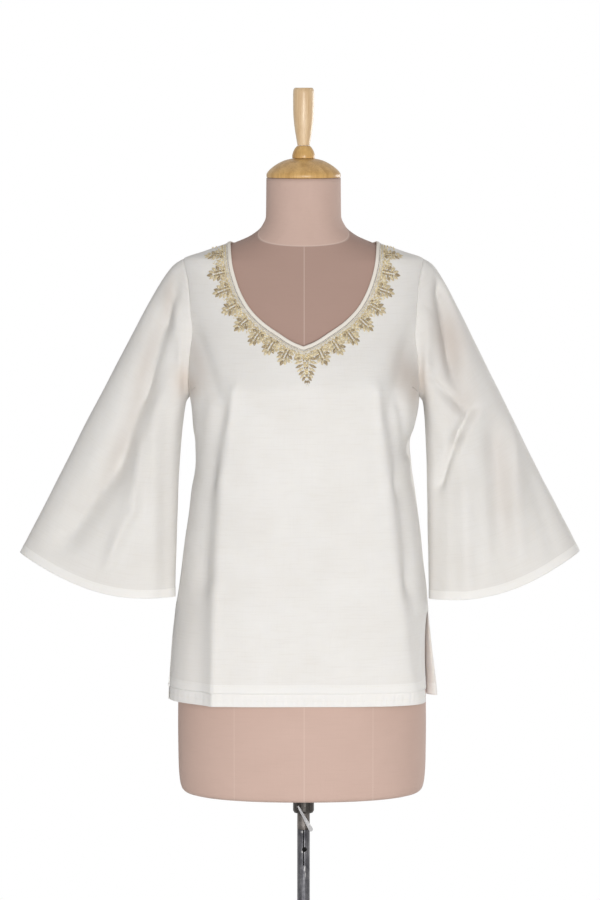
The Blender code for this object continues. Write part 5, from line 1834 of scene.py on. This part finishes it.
# %% [markdown]
# ## Dress form
# The torso is covered in pink-beige linen, cut in panels whose seams show as fine pale lines:
# one down the centre, one down each side of it, and one round the neck's base. The fine torso
# follows the solid's rings with many more of them.


# %% Form
def form_rings(z, turns):
    share = float(ramp(np.array([z]), *FORM_BLEND)[0])
    ring = {}
    for name in RING[1:]:
        low = float(column(FORM, RING, name, np.array([z]))[0])
        high = float(column(GARMENT, RING, name, np.array([z + REST * 1.06]))[0])
        if name in ("half", "front", "back"):
            high = high - REST * (0.9 if name == "half" else 1.0)
        if name == "back":
            high = high - 0.0028 * float(1 - ramp(z, 1.345, 1.358))
        if name == "mid":
            high = 0.0
        ring[name] = low + (high - low) * share
    ahead = np.sin(turns) < 0
    power = np.where(ahead, 2 / ring["sf"], 2 / ring["sb"])
    deep = np.where(ahead, ring["front"], ring["back"])
    x = ring["mid"] + ring["half"] * np.sign(np.cos(turns)) * np.abs(np.cos(turns)) ** power
    y = deep * np.sign(np.sin(turns)) * np.abs(np.sin(turns)) ** power
    return np.stack([x, y, np.full(len(turns), z)], axis=1)


def form_cloth(columns):
    cloth = Cloth()
    heights = np.concatenate([
        0.572 + 0.022 * np.linspace(0, 1, 12) ** 1.6, np.linspace(0.598, 1.30, 120),
        np.linspace(1.303, 1.40, 60), np.linspace(1.405, FORM_TOP_Z, 8)])
    turns = np.arange(columns) * 2 * math.pi / columns
    made = []
    for z in heights:
        ring = form_rings(float(z), turns)
        made.append(cloth.row(ring, np.linspace(0, 0.95, columns + 1), np.full(columns + 1, z)))
    for lower, upper in zip(made, made[1:]):
        cloth.join(lower, upper, around=True)
    middle = len(cloth.points)
    for row, z, turned in ((made[0], heights[0], True), (made[-1], heights[-1], False)):
        cloth.points.append((0.0, 0.0, float(z)))
        for i in range(columns):
            j = (i + 1) % columns
            face = [row[0][i], row[0][j], middle]
            uv = [(row[1][i], z), (row[1][i + 1], z), (row[1][i], z + 0.1)]
            if turned:
                face.reverse()
                uv.reverse()
            cloth.faces.append(face)
            cloth.corners.append(uv)
        middle += 1
    return cloth

# %% [markdown]
# The linen's seams are fine pale lines. Cut in the mesh they would need thousands of thin
# faces. The material draws them by place instead: one plane at the centre, one on each side of
# it, and a tilted one round the neck.

# %% Seams of the linen
NECK_SEAM_Z = 1.378
NECK_SEAM_TILT = 0.456
SIDE_SEAM_X = 0.0975


def add_seams(material):
    """Fine pale seams by place: down the front, beside it, and round the neck on a tilted plane.

    The neck above its seam is a lighter piece of linen than the chest."""
    tree = material.node_tree
    x, y, z = object_axes(tree)
    centre = math_node(tree, "ABSOLUTE", subtract(tree, x, 0.0008))
    pair = math_node(tree, "ABSOLUTE", subtract(tree, math_node(tree, "ABSOLUTE", x), SIDE_SEAM_X))
    plane = math_node(tree, "MULTIPLY_ADD", y, NECK_SEAM_TILT, NECK_SEAM_Z)
    above = subtract(tree, z, plane)
    body = math_node(tree, "LESS_THAN", above, 0.0)
    centre = multiply(tree, ranged(tree, centre, 0.0003, 0.0009, 0.40, 0.0), body)
    low = math_node(tree, "LESS_THAN", z, 1.30)
    pair = multiply(tree, ranged(tree, pair, 0.0003, 0.0009, 0.28, 0.0), low)
    neck = ranged(tree, math_node(tree, "ABSOLUTE", above), 0.0003, 0.0010, 0.45, 0.0)
    seams = math_node(tree, "MAXIMUM", centre, math_node(tree, "MAXIMUM", pair, neck))
    chest = multiply(tree, ranged(tree, z, 1.02, 1.16, 0.0, 0.70), body)
    darker = mixed(tree, chest, group_colour(tree), (0.36, 0.235, 0.195, 1))
    lighter = mixed(tree, seams, darker, (0.76, 0.62, 0.55, 1))
    tree.links.new(lighter, tree.nodes["Principled BSDF"].inputs["Base Color"])


add_seams(LINEN)
form = form_cloth(180).make("form_linen_body", LINEN)
print("form faces", len(form.data.polygons))

# %% [markdown]
# ## Wood top
# The cap, the collar and the handle are turned on a lathe, so each is half an outline spun round
# the axis. The edges are softly rounded and the grain runs along the axis.


# %% Turned pieces
def turned(name, profile, material, steps=72, rounding=0.0006):
    mesh = bpy.data.meshes.new(name)
    edges = [(i, i + 1) for i in range(len(profile) - 1)]
    mesh.from_pydata([(r, 0.0, z) for r, z in profile], edges, [])
    item = in_scene(name, mesh)
    screw = item.modifiers.new("turn", "SCREW")
    screw.axis = "Z"
    screw.angle = 2 * math.pi
    screw.steps = steps
    screw.render_steps = steps
    screw.use_merge_vertices = True
    screw.merge_threshold = 0.00002
    soften = item.modifiers.new("soften", "BEVEL")
    soften.width = rounding
    soften.segments = 2
    soften.limit_method = "ANGLE"
    soften.angle_limit = math.radians(35)
    settle(item)
    item.data.materials.clear()
    item.data.materials.append(material)
    for face in item.data.polygons:
        face.material_index = 0
    item.data.shade_smooth()
    item.data.set_sharp_from_angle(angle=math.radians(50))
    return item


def smooth_profile(rows, count):
    """A smooth curve through the rows of an outline, by distance along it."""
    rows = np.array(rows)
    steps = np.hypot(*np.diff(rows, axis=0).T)
    along = np.concatenate([[0], np.cumsum(steps)])
    where = np.linspace(0, along[-1], count)
    return list(zip(curve_at(along, rows[:, 0], where), curve_at(along, rows[:, 1], where)))


cap_curve = smooth_profile([(0.0170, 1.4734), (0.0260, 1.4712), (0.0350, 1.4672), (0.0440, 1.4612),
                            (0.0505, 1.4548), (0.0525, 1.4510), (0.0520, 1.4468)], 18)
wood_cap = turned("wood_cap", [(0.0, 1.4734)] + cap_curve + [(0.0, 1.4468)], HONEY)
collar_curve = smooth_profile([(0.0090, 1.4915), (0.0122, 1.4878), (0.0148, 1.4825), (0.0161, 1.4772),
                               (0.0158, 1.4738)], 12)
wood_collar = turned("wood_collar", [(0.0, 1.4915)] + collar_curve + [(0.0, 1.4738)], HONEY, 64)
handle_curve = smooth_profile([(0.0125, 1.5730), (0.0143, 1.5712), (0.0148, 1.5600), (0.0146, 1.5400),
                               (0.0136, 1.5250), (0.0113, 1.5080), (0.0092, 1.4960), (0.0086, 1.4919)], 24)
wood_handle = turned("wood_handle", [(0.0, 1.5730)] + handle_curve + [(0.0, 1.4919)], PALE_WOOD, 64)
print("wood faces", [len(item.data.polygons) for item in (wood_cap, wood_collar, wood_handle)])

# %% [markdown]
# ## Stand
# The socket, the pole, its lever and the base keep their solids, which already have their true
# shape. They only need their steel.

# %% Steel on the stand's solids
STAND = {"pole": POLE_STEEL, "pole_ferrule": WARM_STEEL, "pole_socket": DARK_STEEL,
         "locking_lever": PALE_STEEL, "base_collar": DARK_STEEL, "base_disc": DARK_STEEL}
for node, material in STAND.items():
    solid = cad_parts[node]
    solid.data.materials.clear()
    solid.data.materials.append(material)
print("stand solids finished:", list(STAND))

# %% [markdown]
# ## Joining to the frame
# Every piece rides on the one body, and the solid that each finer piece takes the place of is hidden.

# %% Rides and replacements
PIECES = {
    front: ("front_panel", "ivory_cloth"), back: ("back_panel", "ivory_cloth"),
    hem_strip: ("front_hem_strip", "ivory_cloth"),
    sleeves["tunic_sleeve_right"][0]: ("sleeve_right", "ivory_cloth"),
    sleeves["tunic_sleeve_left"][0]: ("sleeve_left", "ivory_cloth"),
    binding: ("neck_binding", "cream_binding"), border: ("neck_embroidery", "gold_thread"),
    form: ("form_body", "linen"), wood_cap: ("neck_cap", "honey_wood"),
    wood_collar: ("cap_collar", "honey_wood"), wood_handle: ("cap_handle", "honey_wood"),
}
for piece, (node, slot) in PIECES.items():
    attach(piece, "root")
    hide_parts(node)
ADDED = {
    border_sequins: "gold_thread", dark_leaves: "gold_thread", silver_beads: "gold_thread",
    gold_beads: "gold_thread", pearl: "cream_binding", stitches: "ivory_cloth",
    strip_stitches: "ivory_cloth", neck_stitches: "cream_binding",
}
for piece, slot in ADDED.items():
    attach(piece, "root")
print("pieces:", len(PIECES), "in place of solids,", len(ADDED), "added")

# %% Cloth pieces
print("cloth pieces: front, back, hem strip and two sleeves")
